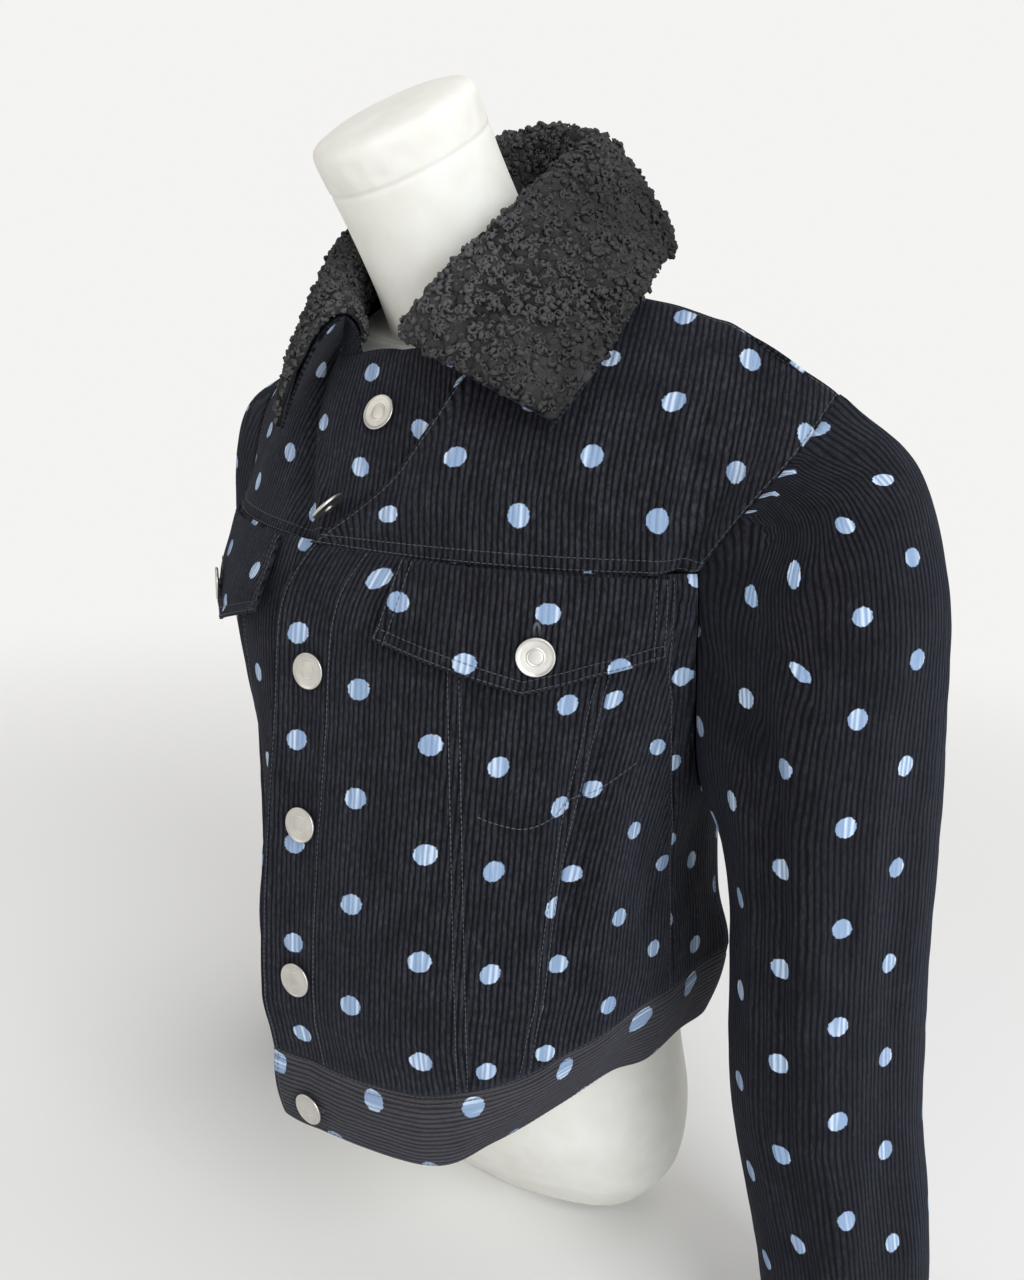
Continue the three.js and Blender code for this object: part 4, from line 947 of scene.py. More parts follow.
def sleevePiece(side):
    sign = 1 if side == "left" else -1
    table = np.array(sleeves[side], float)
    loop, loopNormals = armholeLoop(side)
    count = len(loop)
    ahead, behind = np.roll(loop, -1, 0), np.roll(loop, 1, 0)
    out = unit(np.cross(loopNormals, ahead - behind))
    away = loop - loop * np.array([0, 0.5, 1]) + np.array([0, 0, 40.0])
    out *= np.sign(np.sum(out * away, -1, keepdims=True))
    edge = loop + out * (cut["seamGap"] + 0.15)
    lengths = lengthRun(np.concatenate([loop, loop[:1]])[None], 1)[0]
    lowest = int(np.argmin(loop[:, 2]))
    total = lengths[-1]
    angles = np.where(np.arange(count) <= lowest, 180 * lengths[:-1] / lengths[lowest],
                      180 + 180 * (lengths[:-1] - lengths[lowest]) / (total - lengths[lowest]))
    t = 1 - np.linspace(0, 1, sleeves["rows"] + 1)
    grid = np.zeros((len(t), count + 1, 3))
    for j in range(count):
        a = math.radians(angles[j])
        rows = [[0, *edge[j]]]
        for along, x, y, z, rise, halfWidth, halfDepth in table:
            swell = 0
            for middle, drift, halfAngle, depth, start, end in sleeves["folds"]:
                near = min(1, max(0, (along - start) / 0.15)) * min(1, max(0, (end + 0.05 - along) / 0.1))
                swell += depth * near * math.exp(-(((angles[j] - middle - drift * along) / halfAngle) ** 2))
            rows.append([along, x + sign * (halfWidth + swell) * math.cos(a),
                         y - (halfDepth + swell) * math.sin(a), z + rise * math.cos(a)])
        grid[:, j] = lookUp(rows, t)
    grid[:, -1] = grid[:, 0]
    wide = np.concatenate([grid[:, -2:-1], grid, grid[:, 1:2]], 1)
    n = unit(np.cross(np.gradient(wide, axis=1), np.gradient(wide, axis=0)))[:, 1:-1]
    if n[0, 0, 0] * sign < 0:
        n = -n
    n[-1, :-1] = unit(n[-2, :-1] * 0.6 + loopNormals)
    n[-1, -1] = n[-1, 0]
    # wales run straight up the sleeve and over the shoulder to the armhole
    height = table[::-1, 3]
    level = np.minimum(grid[..., 2], sleeves["capStart"])
    cx, cy, half, deep = (np.interp(level, height, table[::-1, k]) for k in (1, 2, 5, 6))
    outward = sign * (grid[..., 0] - cx) / half
    fore = (cy - grid[..., 1]) / deep
    over = np.clip((n[..., 2] - 0.1) / 0.5, 0, 1)
    turn = np.arctan2(fore, mix(outward, np.sqrt(np.clip(1 - fore * fore, 0, 1)), over))
    rise = grid[..., 2] + 0.8 * over * half * np.maximum(1 - outward, 0)
    uv = (sleeves["meanRadius"] * np.unwrap(turn, axis=1), rise)
    lift = 0.9 * roughness(grid, 34, 6.0 if side == "left" else 9.0) + 0.35 * roughness(grid, 12, 4.0)
    around = np.append(angles, 360.0)[None, :]
    for angle, along, lean, halfAngle, halfLength, depth in sleeves["creases"]:
        off = (around - angle - lean * (t[:, None] - along) + 180) % 360 - 180
        lift += depth * bell(off / halfAngle) * bell((t[:, None] - along) / halfLength)
    lift *= np.minimum(1, fromEdge(grid, "t") / 10)
    lift += edgeDip(grid, "t", 2.4, 0.5) - edgeDip(grid, "t", 9, 0.9) * 0.5
    points = meetSeams(grid + n * lift[..., None], "t", 0.6)
    points[:, -1] = points[:, 0]
    piece = clothPiece(side + "_sleeve", points, n, uv, cut["panelWall"], shadedSleeveCloths, closed=True,
                       printed=printPlace(uv, sleeves[side + "Print"]))
    acrossAndAlong(grid, 0, grid[0, :, 2])
    cuffPiece(side, sign, table[-1], around)
    return points, n


def cuffPiece(side, sign, last, around):
    # last: the sleeve's lowest ring
    tt = np.linspace(0, 1, 13)[::-1][:, None]
    a = np.radians(around)
    shrink = 2 + 2 * tt - 1.5 * np.sin(np.pi * tt)
    cuff = np.stack([last[1] + sign * (last[5] - shrink) * np.cos(a), last[2] - (last[6] - shrink) * np.sin(a),
                     mix(last[3] - 0.6, 10, tt) + 0 * a], -1)
    cn = unit(np.stack([sign * np.cos(a) * last[6], -np.sin(a) * last[5], 0 * a], -1))
    cn = np.repeat(cn, len(tt), 0)
    ripple = 0.35 * roughness(cuff * np.array([1, 1, 0.3]), 12, 4.0)
    cuff += cn * (ripple + edgeDip(cuff, "bt", 1.8, 0.6))[..., None]
    cuff[:, -1] = cuff[:, 0]
    across = lengthRun(cuff[6:7], 1)[0]
    cuv = (mix(42.0, 0, tt) + 0 * a, np.repeat(across[None, :], len(tt), 0))
    piece = clothPiece(side + "_cuff", cuff, cn, cuv, cut["bandWall"], cloths, closed=True)


built["left_sleeve"] = sleevePiece("left")
built["right_sleeve"] = sleevePiece("right")
print("sleeves made")


# collar
collarPlan = {
    # place on the neckline, roll x y z, edge x y z
    "rows": [
        [0.4, 25, -95, 582, 114, -91, 549], [1, 38, -80, 610, 119, -65, 575], [2, 52, -50, 642, 113, -24, 606],
        [3.2, 54, -4, 676, 99, 12, 624], [4, 44, 34, 692, 78, 60, 642], [5, 0, 50, 704, 0, 88, 648],
        [6, -46, 34, 692, -84, 62, 636], [6.8, -66, 0, 672, -106, 16, 622], [8, -76, -34, 640, -106, -27, 602],
        [8.8, -64, -62, 612, -94, -63, 567], [9.4, -50, -82, 590, -82, -89, 532]],
    "cols": 150, "across": 46, "print": ((1, 0, 6), (0, 1, 12)),
    # the pad starts a little way in from the neckline; reach is measured over its width and length
    "padStart": 0.045, "padWidth": 90, "padLength": 620,
}
pile = {
    "lumps": 1900, "lumpSize": (1.9, 3.3), "lumpLow": [0.8, 0.8, 0.6], "lumpHigh": [1.3, 1.0, 0.85],
    "lumpTilt": 0.4, "lumpSink": (-0.8, 0.3),
    "curls": 8200, "curlSize": (1.0, 1.8), "curlTilt": 0.8, "curlSink": (-0.3, 0.7), "strand": 0.78,
    "clump": 3.0, "clumpSize": 5.0,
}


def neckline(at):
    at = np.asarray(at, float)
    left = yokeTop("left_front_yoke", np.clip(at, 0, 3))
    back = yokeTop("back_yoke", np.clip(at, 3, 7))
    right = yokeTop("right_front_yoke", np.clip(11 - at, 0, 4))
    p = np.where((at <= 3)[..., None], left, np.where((at <= 7)[..., None], back, right))
    return p + np.array([0, 0, cut["neckLift"]])


def collarPoint(t, w):
    row = smoothRows(collarPlan["rows"], np.asarray(t) * (len(collarPlan["rows"]) - 1))
    seam, roll, edge = neckline(row[..., 0]), row[..., 1:4], row[..., 4:7]
    middle = (8 * roll - seam - edge) / 6
    spread = (edge - seam) * 0.22
    w = np.asarray(w)[..., None]
    s = 1 - w
    return s**3 * seam + 3 * s * s * w * (middle - spread) + 3 * s * w * w * (middle + spread) + w**3 * edge


def collarNormal(t, w):
    along = collarPoint(np.minimum(1, t + 0.004), w) - collarPoint(np.maximum(0, t - 0.004), w)
    across = collarPoint(t, np.minimum(1, w + 0.01)) - collarPoint(t, np.maximum(0, w - 0.01))
    return unit(np.cross(across, along))


def collar():
    cols, across = collarPlan["cols"], collarPlan["across"]
    t, w = np.meshgrid(np.linspace(0, 1, cols + 1), np.linspace(0, 1, across + 1))
    flat, n = collarPoint(t, w), collarNormal(t, w)
    uv = acrossAndAlong(flat, cols // 2, np.zeros(cols + 1))
    flat[0] += unit(flat[0] - flat[1]) * 2.2
    lower = clothPiece("under_collar", flat, -n, uv, cut["underCollarWall"], [corduroy, corduroy],
                       printed=printPlace(uv, collarPlan["print"]))
    # pile: a padded base, then tufts of curls set over it
    first = collarPlan["padStart"]
    w = np.linspace(first, 1, across + 1)[:, None] + 0 * t
    start = cut["underCollarWall"] + cut["seamGap"]
    base, bn = collarPoint(t, w), collarNormal(t, w)
    reach = np.minimum(np.minimum(w - first, 1 - w) * collarPlan["padWidth"],
                       np.minimum(t, 1 - t) * collarPlan["padLength"])
    thick = cut["pileWall"] * (0.36 + 0.42 * np.clip(reach / 7, 0, 1) ** 0.5)
    outer = base + bn * (start + thick + 0.9 * roughness(base, 9, 1.0))[..., None]
    puv = acrossAndAlong(outer, cols // 2, np.zeros(cols + 1))
    pad = clothPiece("sherpa_collar", outer, bn, puv, cut["padWall"], [pileCloth], name="sherpa_collar_base")
    return outer, bn


collarOuter, collarOut = collar()


def pileSpots(rng, count):
    # evenly drawn places on the pad, with their normals
    cell = np.linalg.norm(np.cross(collarOuter[1:, 1:] - collarOuter[:-1, :-1],
                                   collarOuter[1:, :-1] - collarOuter[:-1, 1:]), axis=-1)
    pick = np.cumsum(cell.ravel())
    at = np.minimum(np.searchsorted(pick, rng.random(count) * pick[-1]), len(pick) - 1)
    i, j = np.divmod(at, collarOuter.shape[1] - 1)
    a, b = rng.random((2, count, 1))
    low = mix(collarOuter[i, j], collarOuter[i, j + 1], a)
    high = mix(collarOuter[i + 1, j], collarOuter[i + 1, j + 1], a)
    return mix(low, high, b), collarOut[i, j]


def turned(rng, p, n, size, tilt, sink):
    # places for copies: stood on the normal, spun, tilted, sized and sunk
    count = len(p)
    spin, lean = rng.uniform(0, 2 * np.pi, count), rng.uniform(-tilt, tilt, count)
    side = unit(np.cross(n, rng.normal(size=(count, 3))))
    ahead = np.cross(n, side)
    x = side * np.cos(spin)[:, None] + ahead * np.sin(spin)[:, None]
    y = np.cross(n, x)
    z = n * np.cos(lean)[:, None] + y * np.sin(lean)[:, None]
    y = np.cross(z, x)
    out = np.zeros((count, 4, 4))
    out[:, :3, 0], out[:, :3, 1], out[:, :3, 2] = x * size[:, :1], y * size[:, 1:2], z * size[:, 2:]
    out[:, :3, 3] = p + n * sink[:, None]
    out[:, 3, 3] = 1
    return out


def sherpaPile():
    rng = np.random.default_rng(5)
    knot = bmesh.new()
    bmesh.ops.create_icosphere(knot, subdivisions=2, radius=1.0)
    for v in knot.verts:
        v.co *= 1 + 0.34 * noise.noise(v.co * 1.7 + Vector((4, 1, 2)))
    p, n = pileSpots(rng, pile["lumps"])
    count = len(p)
    size = rng.uniform(*pile["lumpSize"], (count, 1))
    size = size * rng.uniform(pile["lumpLow"], pile["lumpHigh"], (count, 3))
    places = turned(rng, p, n, size, pile["lumpTilt"], rng.uniform(*pile["lumpSink"], count))
    scatter("sherpa_lumps", meshFrom("pileLump", knot), places, pileCloth)
    # one curl: a short, thick strand bent most of the way round
    curl = bmesh.new()
    ring = bmesh.ops.create_circle(curl, segments=3, radius=pile["strand"], cap_ends=False)["verts"]
    bmesh.ops.translate(curl, verts=ring, vec=(1.0, 0, 0))
    bmesh.ops.rotate(curl, verts=ring, cent=(1.0, 0, 0), matrix=Matrix.Rotation(math.pi / 2, 3, "X"))
    whole = curl.verts[:] + curl.edges[:]
    bmesh.ops.spin(curl, geom=whole, cent=(0, 0, 0), axis=(0, 0, 1), angle=4.3, steps=6)
    rims = [e for e in curl.edges if e.is_boundary]
    bmesh.ops.holes_fill(curl, edges=rims)
    bmesh.ops.recalc_face_normals(curl, faces=curl.faces)
    for v in curl.verts:
        turn = math.atan2(v.co.y, v.co.x) % (2 * math.pi)
        v.co *= 1 + 0.16 * math.sin(turn * 1.3 + 0.6)
        v.co.z += 0.35 * math.sin(turn * 1.1)
    strand = meshFrom("pileCurl", curl)
    for part in range(2):
        p, n = pileSpots(rng, pile["curls"] // 2)
        size = rng.uniform(*pile["curlSize"], (len(p), 1)) * np.ones((1, 3))
        sink = pile["clump"] * roughness(p, pile["clumpSize"], 2.0) + rng.uniform(*pile["curlSink"], len(p))
        places = turned(rng, p, n, size, pile["curlTilt"], sink)
        scatter("sherpa_curls_" + str(part + 1), strand, places, curlCloth)


sherpaPile()
print("collar made")


# pocket flaps
flapCut = {
    # angles of the top edge, how far the sides turn on the way down, where the point comes
    "angles": (20.4, 70), "turn": (-3.6, 0.6), "point": 0.55, "top": 476.5, "low": 437, "drop": 20,
}
flapPlans = [
    dict(node="left_pocket_flap", sign=1, lap="over", lift=2.2, print=((0.846, 0, -14), (0, 1, 32))),
    dict(node="right_pocket_flap", sign=-1, lap="under", lift=7, print=((1, 0, -14), (0, 1, 30))),
]


def flapPoint(plan, u, v):
    deg = plan["sign"] * (mix(*flapCut["angles"], u) + v * mix(*flapCut["turn"], u))
    point = flapCut["point"]
    drop = np.where(u < point, u / point, (1 - u) / (1 - point))
    z = mix(flapCut["top"], flapCut["low"] - flapCut["drop"] * drop, v)
    n = bodyNormal(deg, z, plan["lap"])
    return body(deg, z, plan["lap"]) + n * (cut["flapStandOff"] + 2 + plan["lift"] * v * v)[..., None], n


def flapPiece(plan):
    u, v = np.meshgrid(np.linspace(0, 1, 61), np.linspace(0, 1, 23))
    flat, n = flapPoint(plan, u, v)
    uv = acrossAndAlong(flat[::-1], 30, flat[-1, :, 2])
    uv = (uv[0][::-1], -uv[1][::-1] + np.max(uv[1]))
    lift = edgeDip(flat, "b", 2.2, 0.6) - edgeDip(flat, "lrt", 5, 1.1) + edgeDip(flat, "lrt", 1.6, 0.8)
    lift += channel(flat, "lrt", 7, 0.8, 1.5) + 0.3 * roughness(flat, 20, 7.0)
    points = flat + n * lift[..., None]
    piece = clothPiece(plan["node"], points, n, uv, cut["flapWall"], cloths,
                       printed=printPlace(uv, plan["print"]))
    return points, n


for plan in flapPlans:
    built[plan["node"]] = flapPiece(plan)
print("flaps made")


# buttons
buttonPlan = {
    # distance from the middle, height above the seat
    "profile": [[0.0, 2.72], [3.2, 2.72], [3.45, 2.7], [3.65, 2.62], [3.9, 2.62], [4.05, 2.78], [4.2, 2.84],
                [4.4, 2.84], [4.55, 2.78], [4.7, 2.66], [4.95, 2.66], [5.3, 2.7], [7.6, 2.72], [8.3, 2.76],
                [8.8, 2.9], [9.1, 3.1], [9.35, 3.22], [9.6, 3.2], [9.9, 2.95], [10.0, 2.5],
                [9.85, 1.9], [9.5, 1.55], [8.8, 1.3], [3.2, 1.2], [3.0, 0.9], [3.0, 0.0], [0.0, 0.0]],
    "steps": 56,
}


def buttonPiece(node):
    # read the seat and the facing of the disc back from its solid
    solid = bpy.data.objects[node]
    verts = np.array([list(solid.matrix_world @ v.co) for v in solid.data.vertices]) * 1000
    centre = (verts.min(0) + verts.max(0)) / 2
    middle = verts.mean(0)
    _, _, axes = np.linalg.svd(verts - middle)
    n = Vector(axes[2])
    out = Vector(centre - shift - np.array([0, 10, 430.0]))
    if n.dot(out) < 0:
        n = -n
    heights = (verts - middle) @ np.array(n)
    foot = middle + np.array(n) * heights.min()
    bm = bmesh.new()
    ring = [bm.verts.new((r, 0, h)) for r, h in buttonPlan["profile"]]
    edges = [bm.edges.new((a, b)) for a, b in zip(ring, ring[1:])]
    bmesh.ops.spin(bm, geom=ring + edges, cent=(0, 0, 0), axis=(0, 0, 1), angle=2 * math.pi,
                   steps=buttonPlan["steps"], use_merge=True)
    bmesh.ops.remove_doubles(bm, verts=bm.verts, dist=0.001)
    bmesh.ops.recalc_face_normals(bm, faces=bm.faces)
    stand = n.to_track_quat("Z", "Y").to_matrix().to_4x4()
    place = Matrix.Scale(0.001, 4) @ Matrix.Translation(Vector(foot)) @ stand
    bmesh.ops.transform(bm, matrix=place, verts=bm.verts)
    for face in bm.faces:
        face.smooth = True
    disc = linkMesh(node + "_disc", meshFrom(node + "_disc", bm), nickel)
    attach(disc, "root")
    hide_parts(node)


for node in ["front_button_" + str(k) for k in range(1, 7)] + ["left_flap_button", "right_flap_button"]:
    buttonPiece(node)
print("buttons made")


# stitching
sewing = {
    "pitch": 3.1, "thread": (1.5, 0.24, 0.2),
    # piece, edges, distances in from the edge
    "rows": [
        ["left_front_yoke", "b", (1.6, 7.5)], ["left_front_yoke", "l", (3.5,)],
        ["left_front_yoke", "r", (2.2,)], ["left_front_yoke", "t", (2.0,)],
        ["right_front_yoke", "b", (1.6, 7.5)], ["right_front_yoke", "l", (3.5,)],
        ["right_front_yoke", "r", (2.2,)], ["back_yoke", "b", (1.6, 7.5)], ["back_yoke", "lr", (2.2,)],
        ["left_pocket_flap", "lrt", (1.6, 7.0)], ["right_pocket_flap", "lrt", (1.6, 7.0)],
        ["left_centre_panel", "l", (2.5, 38.0)], ["left_centre_panel", "r", (1.6, 7.5)],
        ["left_v_panel", "r", (1.6, 7.5)], ["left_side_panel", "r", (1.6,)],
        ["left_underarm_panel", "r", (1.6, 7.0)], ["right_centre_panel", "r", (1.6, 7.5)],
        ["right_v_panel", "r", (1.6, 7.5)], ["right_side_panel", "r", (1.6,)],
        ["right_underarm_panel", "r", (1.6, 7.0)], ["waistband", "t", (1.8, 7.0)], ["waistband", "b", (1.8,)],
        ["waistband", "lr", (3.0,)],
    ],
    # curve of the pocket bag: angle and z
    "pocketBag": [[38.8, 350], [42, 347], [48, 344], [54, 350], [57, 357], [62, 364], [69, 377]],
    "frontHole": 18, "flapHole": 24, "flapHoleRise": 4.5, "holeWidth": 1.5, "holeThread": (1.0, 0.22, 0.3),
}
threads = []


def insetLine(node, side, distance):
    # the line on a piece at its distance from one edge
    points, normals = built[node]
    if side in "bt":
        points, normals = points.transpose(1, 0, 2), normals.transpose(1, 0, 2)
    if side in "rt":
        points, normals = points[:, ::-1], normals[:, ::-1]
    run = lengthRun(points, 1)
    line = []
    for k in range(len(points)):
        j = min(int(np.searchsorted(run[k], distance)), run.shape[1] - 1)
        f = (distance - run[k, j - 1]) / max(run[k, j] - run[k, j - 1], 1e-6)
        line.append([*mix(points[k, j - 1], points[k, j], min(f, 1)), *normals[k, j]])
    return np.array(line)


def sewLine(line):
    # thread after thread along a line of points and normals
    run = lengthRun(line[None, :, :3], 1)[0]
    at = np.arange(sewing["pitch"] / 2, run[-1], sewing["pitch"])

    def onLine(where):
        return np.stack([np.interp(where, run, line[:, k]) for k in range(6)], -1)

    here = onLine(at)
    ahead = (onLine(at + 0.5) - onLine(at - 0.5))[:, :3]
    setThreads(here[:, :3], unit(ahead), unit(here[:, 3:]), sewing["thread"])


def setThreads(p, ahead, n, size):
    # one bead at each point, drawn out along the stitch
    side = unit(np.cross(n, ahead))
    place = np.zeros((len(p), 4, 4))
    place[:, :3, 0], place[:, :3, 1] = ahead * size[0], side * size[1]
    place[:, :3, 2], place[:, :3, 3] = np.cross(ahead, side) * size[2], p + n * 0.2
    place[:, 3, 3] = 1
    threads.extend(place)


def clothNear(nodes, place):
    # the finished cloth's normal beside a place, and the place moved on to the cloth along it
    points = np.concatenate([built[k][0].reshape(-1, 3) for k in nodes])
    normals = np.concatenate([built[k][1].reshape(-1, 3) for k in nodes])
    pick = np.argsort(np.linalg.norm(points - place, axis=-1))[:6]
    n = unit(normals[pick].mean(0))
    return place + n * np.dot(points[pick].mean(0) - place, n), n


def onCloth(nodes, path):
    # lay a path of angles and heights on the finished cloth
    row = smoothRows(path, np.linspace(0, len(path) - 1, 90))
    return np.array([np.concatenate(clothNear(nodes, q)) for q in body(row[:, 0], row[:, 1], "over")])


def buttonhole(node, along, centre, length):
    # a slot worked round with close stitches, under its button or showing beside it
    middle, n = clothNear([node], centre)
    run = unit(along - n * np.dot(along, n))
    side = np.cross(n, run)
    turn = np.linspace(0, 2 * np.pi, 84, endpoint=False)[:, None]
    away = run * np.sign(np.cos(turn)) * np.abs(np.cos(turn)) ** 0.35 * length / 2
    away += side * np.sin(turn) * sewing["holeWidth"]
    ahead = unit(side * np.sin(turn) + run * np.cos(turn) ** 9)
    setThreads(middle + away, ahead, np.repeat(n[None, :], len(turn), 0), sewing["holeThread"])


def middleOf(node):
    low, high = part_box(node)
    return (np.array(low) + np.array(high)) * 500 - shift


def stitching():
    for node, edges, insets in sewing["rows"]:
        for side in edges:
            for distance in insets:
                sewLine(insetLine(node, side, distance))
    for side in ("left", "right"):
        sewLine(onCloth([side + "_v_panel", side + "_side_panel"],
                        [[a if side == "left" else -a, z] for a, z in sewing["pocketBag"]]))
    for k in range(3, 7):
        home = "waistband" if k == 6 else "left_centre_panel"
        buttonhole(home, np.array([1.0, 0, 0]), middleOf("front_button_" + str(k)), sewing["frontHole"])
    up = np.array([0, 0, 1.0])
    for side in ("left", "right"):
        centre = middleOf(side + "_flap_button") + up * sewing["flapHoleRise"]
        buttonhole(side + "_pocket_flap", up, centre, sewing["flapHole"])
    bead = bmesh.new()
    bmesh.ops.create_icosphere(bead, subdivisions=1, radius=1.0)
    scatter("top_stitching", meshFrom("threadStitch", bead), threads, threadCloth)
    print("stitches:", len(threads))


stitching()


# dress form
formPlan = {
    # z, centre y, half width, front, back, squareness, slope down to the front
    "rows": [
        [0, 56, 68, 35, 38, 2.3, 0], [6, 56, 88, 39, 49, 2.3, 0], [22, 54, 116, 52, 64, 2.3, 0],
        [50, 50, 135, 70, 79, 2.3, 0], [95, 44, 140, 92, 86, 2.3, 0], [145, 38, 133, 96, 90, 2.2, 0],
        [190, 36, 133, 96, 92, 2.2, 0], [260, 34, 124, 92, 95, 2.2, 0], [320, 30, 110, 86, 95, 2.2, 0],
        [400, 24, 122, 96, 99, 2.2, 0], [450, 14, 132, 98, 102, 2.1, 0], [505, 6, 142, 84, 94, 2.1, 0],
        [548, 2, 137, 68, 78, 2.1, 0.05], [580, 2, 121, 53, 58, 2.1, 0.15], [596.5, 1, 104, 50, 46, 2.0, 0.3],
        [605, -4, 84, 46, 41, 2.0, 0.5]],
    "neckRadius": 48, "neckBase": (-10, -9, 612), "neckTop": (-22, -66, 702),
    # along the neck, radius
    "neck": [[0, 1.06], [0.25, 1], [0.6, 0.98], [0.76, 0.985], [0.775, 0.972], [0.79, 0.99], [0.86, 1.0],
             [0.95, 1.0], [0.985, 0.97], [1, 0.92]],
    # radius, rise over the top of the neck
    "crown": ((0.8, 1.6), (0.6, 2.6), (0.35, 3.2), (0.12, 3.5)),
    "around": 128,
}


def dressForm():
    plan = formPlan
    rows = np.array(plan["rows"], float)
    w = np.linspace(0, 2 * np.pi, plan["around"] + 1)
    s, c = np.sin(w), np.cos(w)
    levels = np.linspace(0, len(rows) - 1, 90)
    table = smoothRows(rows, levels)
    table[:, 0] = np.interp(levels, np.arange(len(rows)), rows[:, 0])
    z, centreY, halfWidth, front, back, n, slope = (table[:, k][:, None] for k in range(7))
    depth = np.where(c > 0, front, back)
    r = (np.abs(s / halfWidth) ** n + np.abs(c / depth) ** n) ** (-1 / n)
    torso = np.stack([r * s, centreY - r * c, z - slope * r * c], -1)
    base, top = np.array(plan["neckBase"], float), np.array(plan["neckTop"], float)
    axis = unit(top - base)
    side = unit(np.cross([0, 1, 0], axis))
    ahead = np.cross(axis, side)
    rings = []
    along = np.concatenate([np.linspace(0, 0.74, 16), np.linspace(0.755, 1, 22)])
    grow = lookUp(plan["neck"], along)[:, 0]
    for t, g in zip(along, grow):
        pucker = 0.35 * np.clip((t - 0.78) / 0.05, 0, 1) * np.clip((1 - t) / 0.1, 0, 1)
        wave = np.array([noise.noise(Vector((math.sin(a) * 6, math.cos(a) * 6, t * 9))) for a in w])
        radius = plan["neckRadius"] * g + pucker * wave * 2
        rings.append(mix(base, top, t) + side * (radius * s)[:, None] - ahead * (radius * c)[:, None])
    for g, rise in plan["crown"]:
        radius = plan["neckRadius"] * g
        rings.append(top + axis * rise + side * (radius * s)[:, None] - ahead * (radius * c)[:, None])
    grid = np.concatenate([torso, np.array(rings)])
    grid[:, -1] = grid[:, 0]
    bm, _ = gridOf(grid)
    bmesh.ops.remove_doubles(bm, verts=bm.verts, dist=1e-6)
    rims = [e for e in bm.edges if e.is_boundary]
    bmesh.ops.edgeloop_fill(bm, edges=rims)
    bmesh.ops.recalc_face_normals(bm, faces=bm.faces)
    for face in bm.faces:
        face.smooth = len(face.verts) < 5
    cover = linkMesh("dress_form_cover", meshFrom("dress_form_cover", bm), formCloth)
    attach(cover, "root")
    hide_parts("dress_form")


dressForm()
print("dress form made")


# stage, light and camera
stageLook = {
    "background": (0.905, 0.90, 0.89), "floor": (0.90, 0.895, 0.885), "ambient": 0.6, "radius": 30.0,
    "fadeFrom": 0.55, "fadeTo": 1.9,
    # name, place, target, size, power, colour
    "lights": [
        ("rightWindow", (1.9, -0.9, 1.5), (0, 0, 0.4), (1.3, 1.5), 34, (0.94, 0.97, 1.0)),
        ("leftFill", (-1.3, -1.9, 1.2), (0, 0, 0.4), (1.6, 1.6), 9, (1.0, 0.97, 0.93)),
        ("topSoft", (0.2, 0.5, 2.2), (0, 0, 0.4), (1.8, 1.8), 9, (1, 1, 1)),
        ("lowRight", (1.5, -0.9, 0.25), (0, 0, 0.25), (0.9, 0.5), 6, (0.84, 0.92, 1.0))],
}


def mixShaders(tree, factor, first, second, target):
    both = tree.nodes.new("ShaderNodeMixShader")
    for socket, source in zip(both.inputs, (factor, first, second)):
        tree.links.new(source, socket)
    tree.links.new(both.outputs[0], tree.nodes[target].inputs["Surface"])


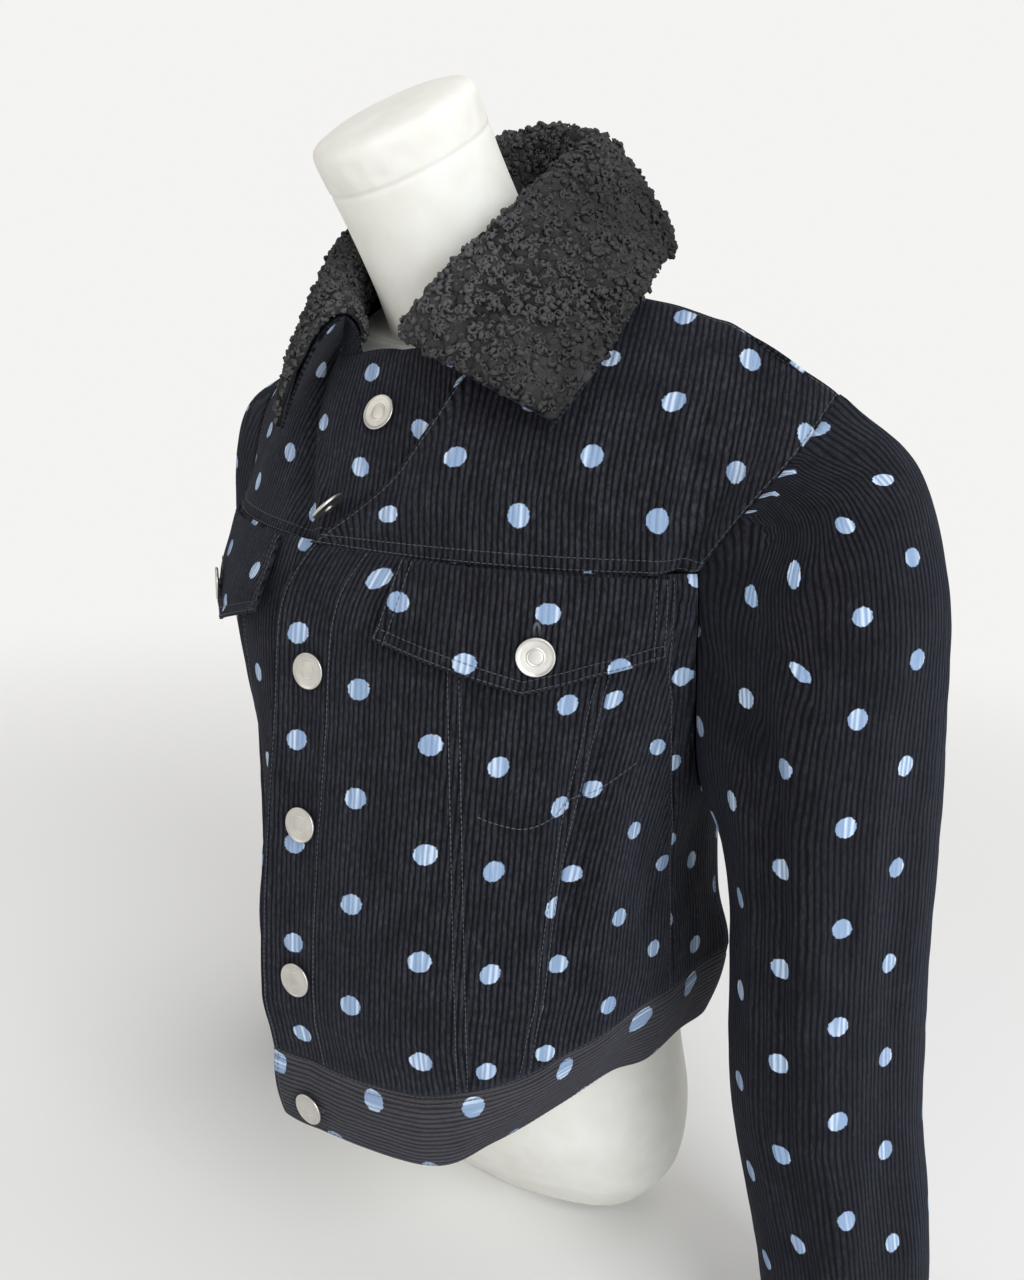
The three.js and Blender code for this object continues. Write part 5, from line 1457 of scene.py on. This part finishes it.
def stage():
    look = stageLook
    bm = bmesh.new()
    bmesh.ops.create_circle(bm, cap_ends=True, cap_tris=True, segments=96, radius=look["radius"])
    material, tree, shader = startMaterial("paleFloor", 0.95)
    shader.inputs["Base Color"].default_value = look["floor"] + (1,)
    shader.inputs["Specular IOR Level"].default_value = 0.1
    # the floor fades into the pale sweep behind it
    place = tree.nodes.new("ShaderNodeTexCoord").outputs["Object"]
    fade = rangeNode(tree, vectorNode(tree, "LENGTH", place), look["fadeFrom"], look["fadeTo"], smooth=True)
    glow = tree.nodes.new("ShaderNodeEmission")
    glow.inputs["Color"].default_value = look["background"] + (1,)
    mixShaders(tree, fade, shader.outputs[0], glow.outputs[0], "Material Output")
    floor = linkMesh("studio_floor", meshFrom("studio_floor", bm), material)
    world = bpy.data.worlds.new("paleRoom")
    bpy.context.scene.world = world
    world.use_nodes = True
    tree = world.node_tree
    seen = tree.nodes["Background"]
    seen.inputs["Color"].default_value = look["background"] + (1,)
    lit = tree.nodes.new("ShaderNodeBackground")
    lit.inputs["Color"].default_value = look["background"] + (1,)
    lit.inputs["Strength"].default_value = look["ambient"]
    direct = tree.nodes.new("ShaderNodeLightPath").outputs["Is Camera Ray"]
    mixShaders(tree, direct, lit.outputs[0], seen.outputs[0], "World Output")


def addLight(name, place, target, size, power, colour):
    lamp = bpy.data.lights.new(name, "AREA")
    lamp.shape = "RECTANGLE"
    lamp.size, lamp.size_y = size
    lamp.energy = power
    lamp.color = colour
    holder = bpy.data.objects.new(name, lamp)
    bpy.context.scene.collection.objects.link(holder)
    holder.location = place
    holder.rotation_euler = (Vector(target) - Vector(place)).to_track_quat("-Z", "Y").to_euler()


# focal length: pixels of the photograph's taller side, over a 36 mm frame
cameraPlan = {
    "place": (437, -551, 584), "azimuth": 36.8, "elevation": 14.3, "roll": 2.4, "lens": 1150 / 1280 * 36,
}


def camera():
    az, el, roll = (math.radians(cameraPlan[k]) for k in ("azimuth", "elevation", "roll"))
    back = Vector((math.sin(az) * math.cos(el), -math.cos(az) * math.cos(el), math.sin(el)))
    right = (-back).cross(Vector((0, 0, 1))).normalized()
    up = right.cross(-back)
    c, s = math.cos(roll), math.sin(roll)
    right, up = c * right + s * up, c * up - s * right
    lens = bpy.data.cameras.new("photoView")
    lens.lens = cameraPlan["lens"]
    lens.sensor_width = 36
    lens.clip_start = 0.01
    holder = bpy.data.objects.new("photoView", lens)
    bpy.context.scene.collection.objects.link(holder)
    facingBack = Matrix((right, up, back)).transposed().to_4x4()
    place = (np.array(cameraPlan["place"]) + shift) / 1000
    holder.matrix_world = Matrix.Translation(Vector(place)) @ facingBack
    bpy.context.scene.camera = holder


stage()
for light in stageLook["lights"]:
    addLight(*light)
camera()
bpy.context.scene.view_settings.view_transform = "Standard"
print("stage made")
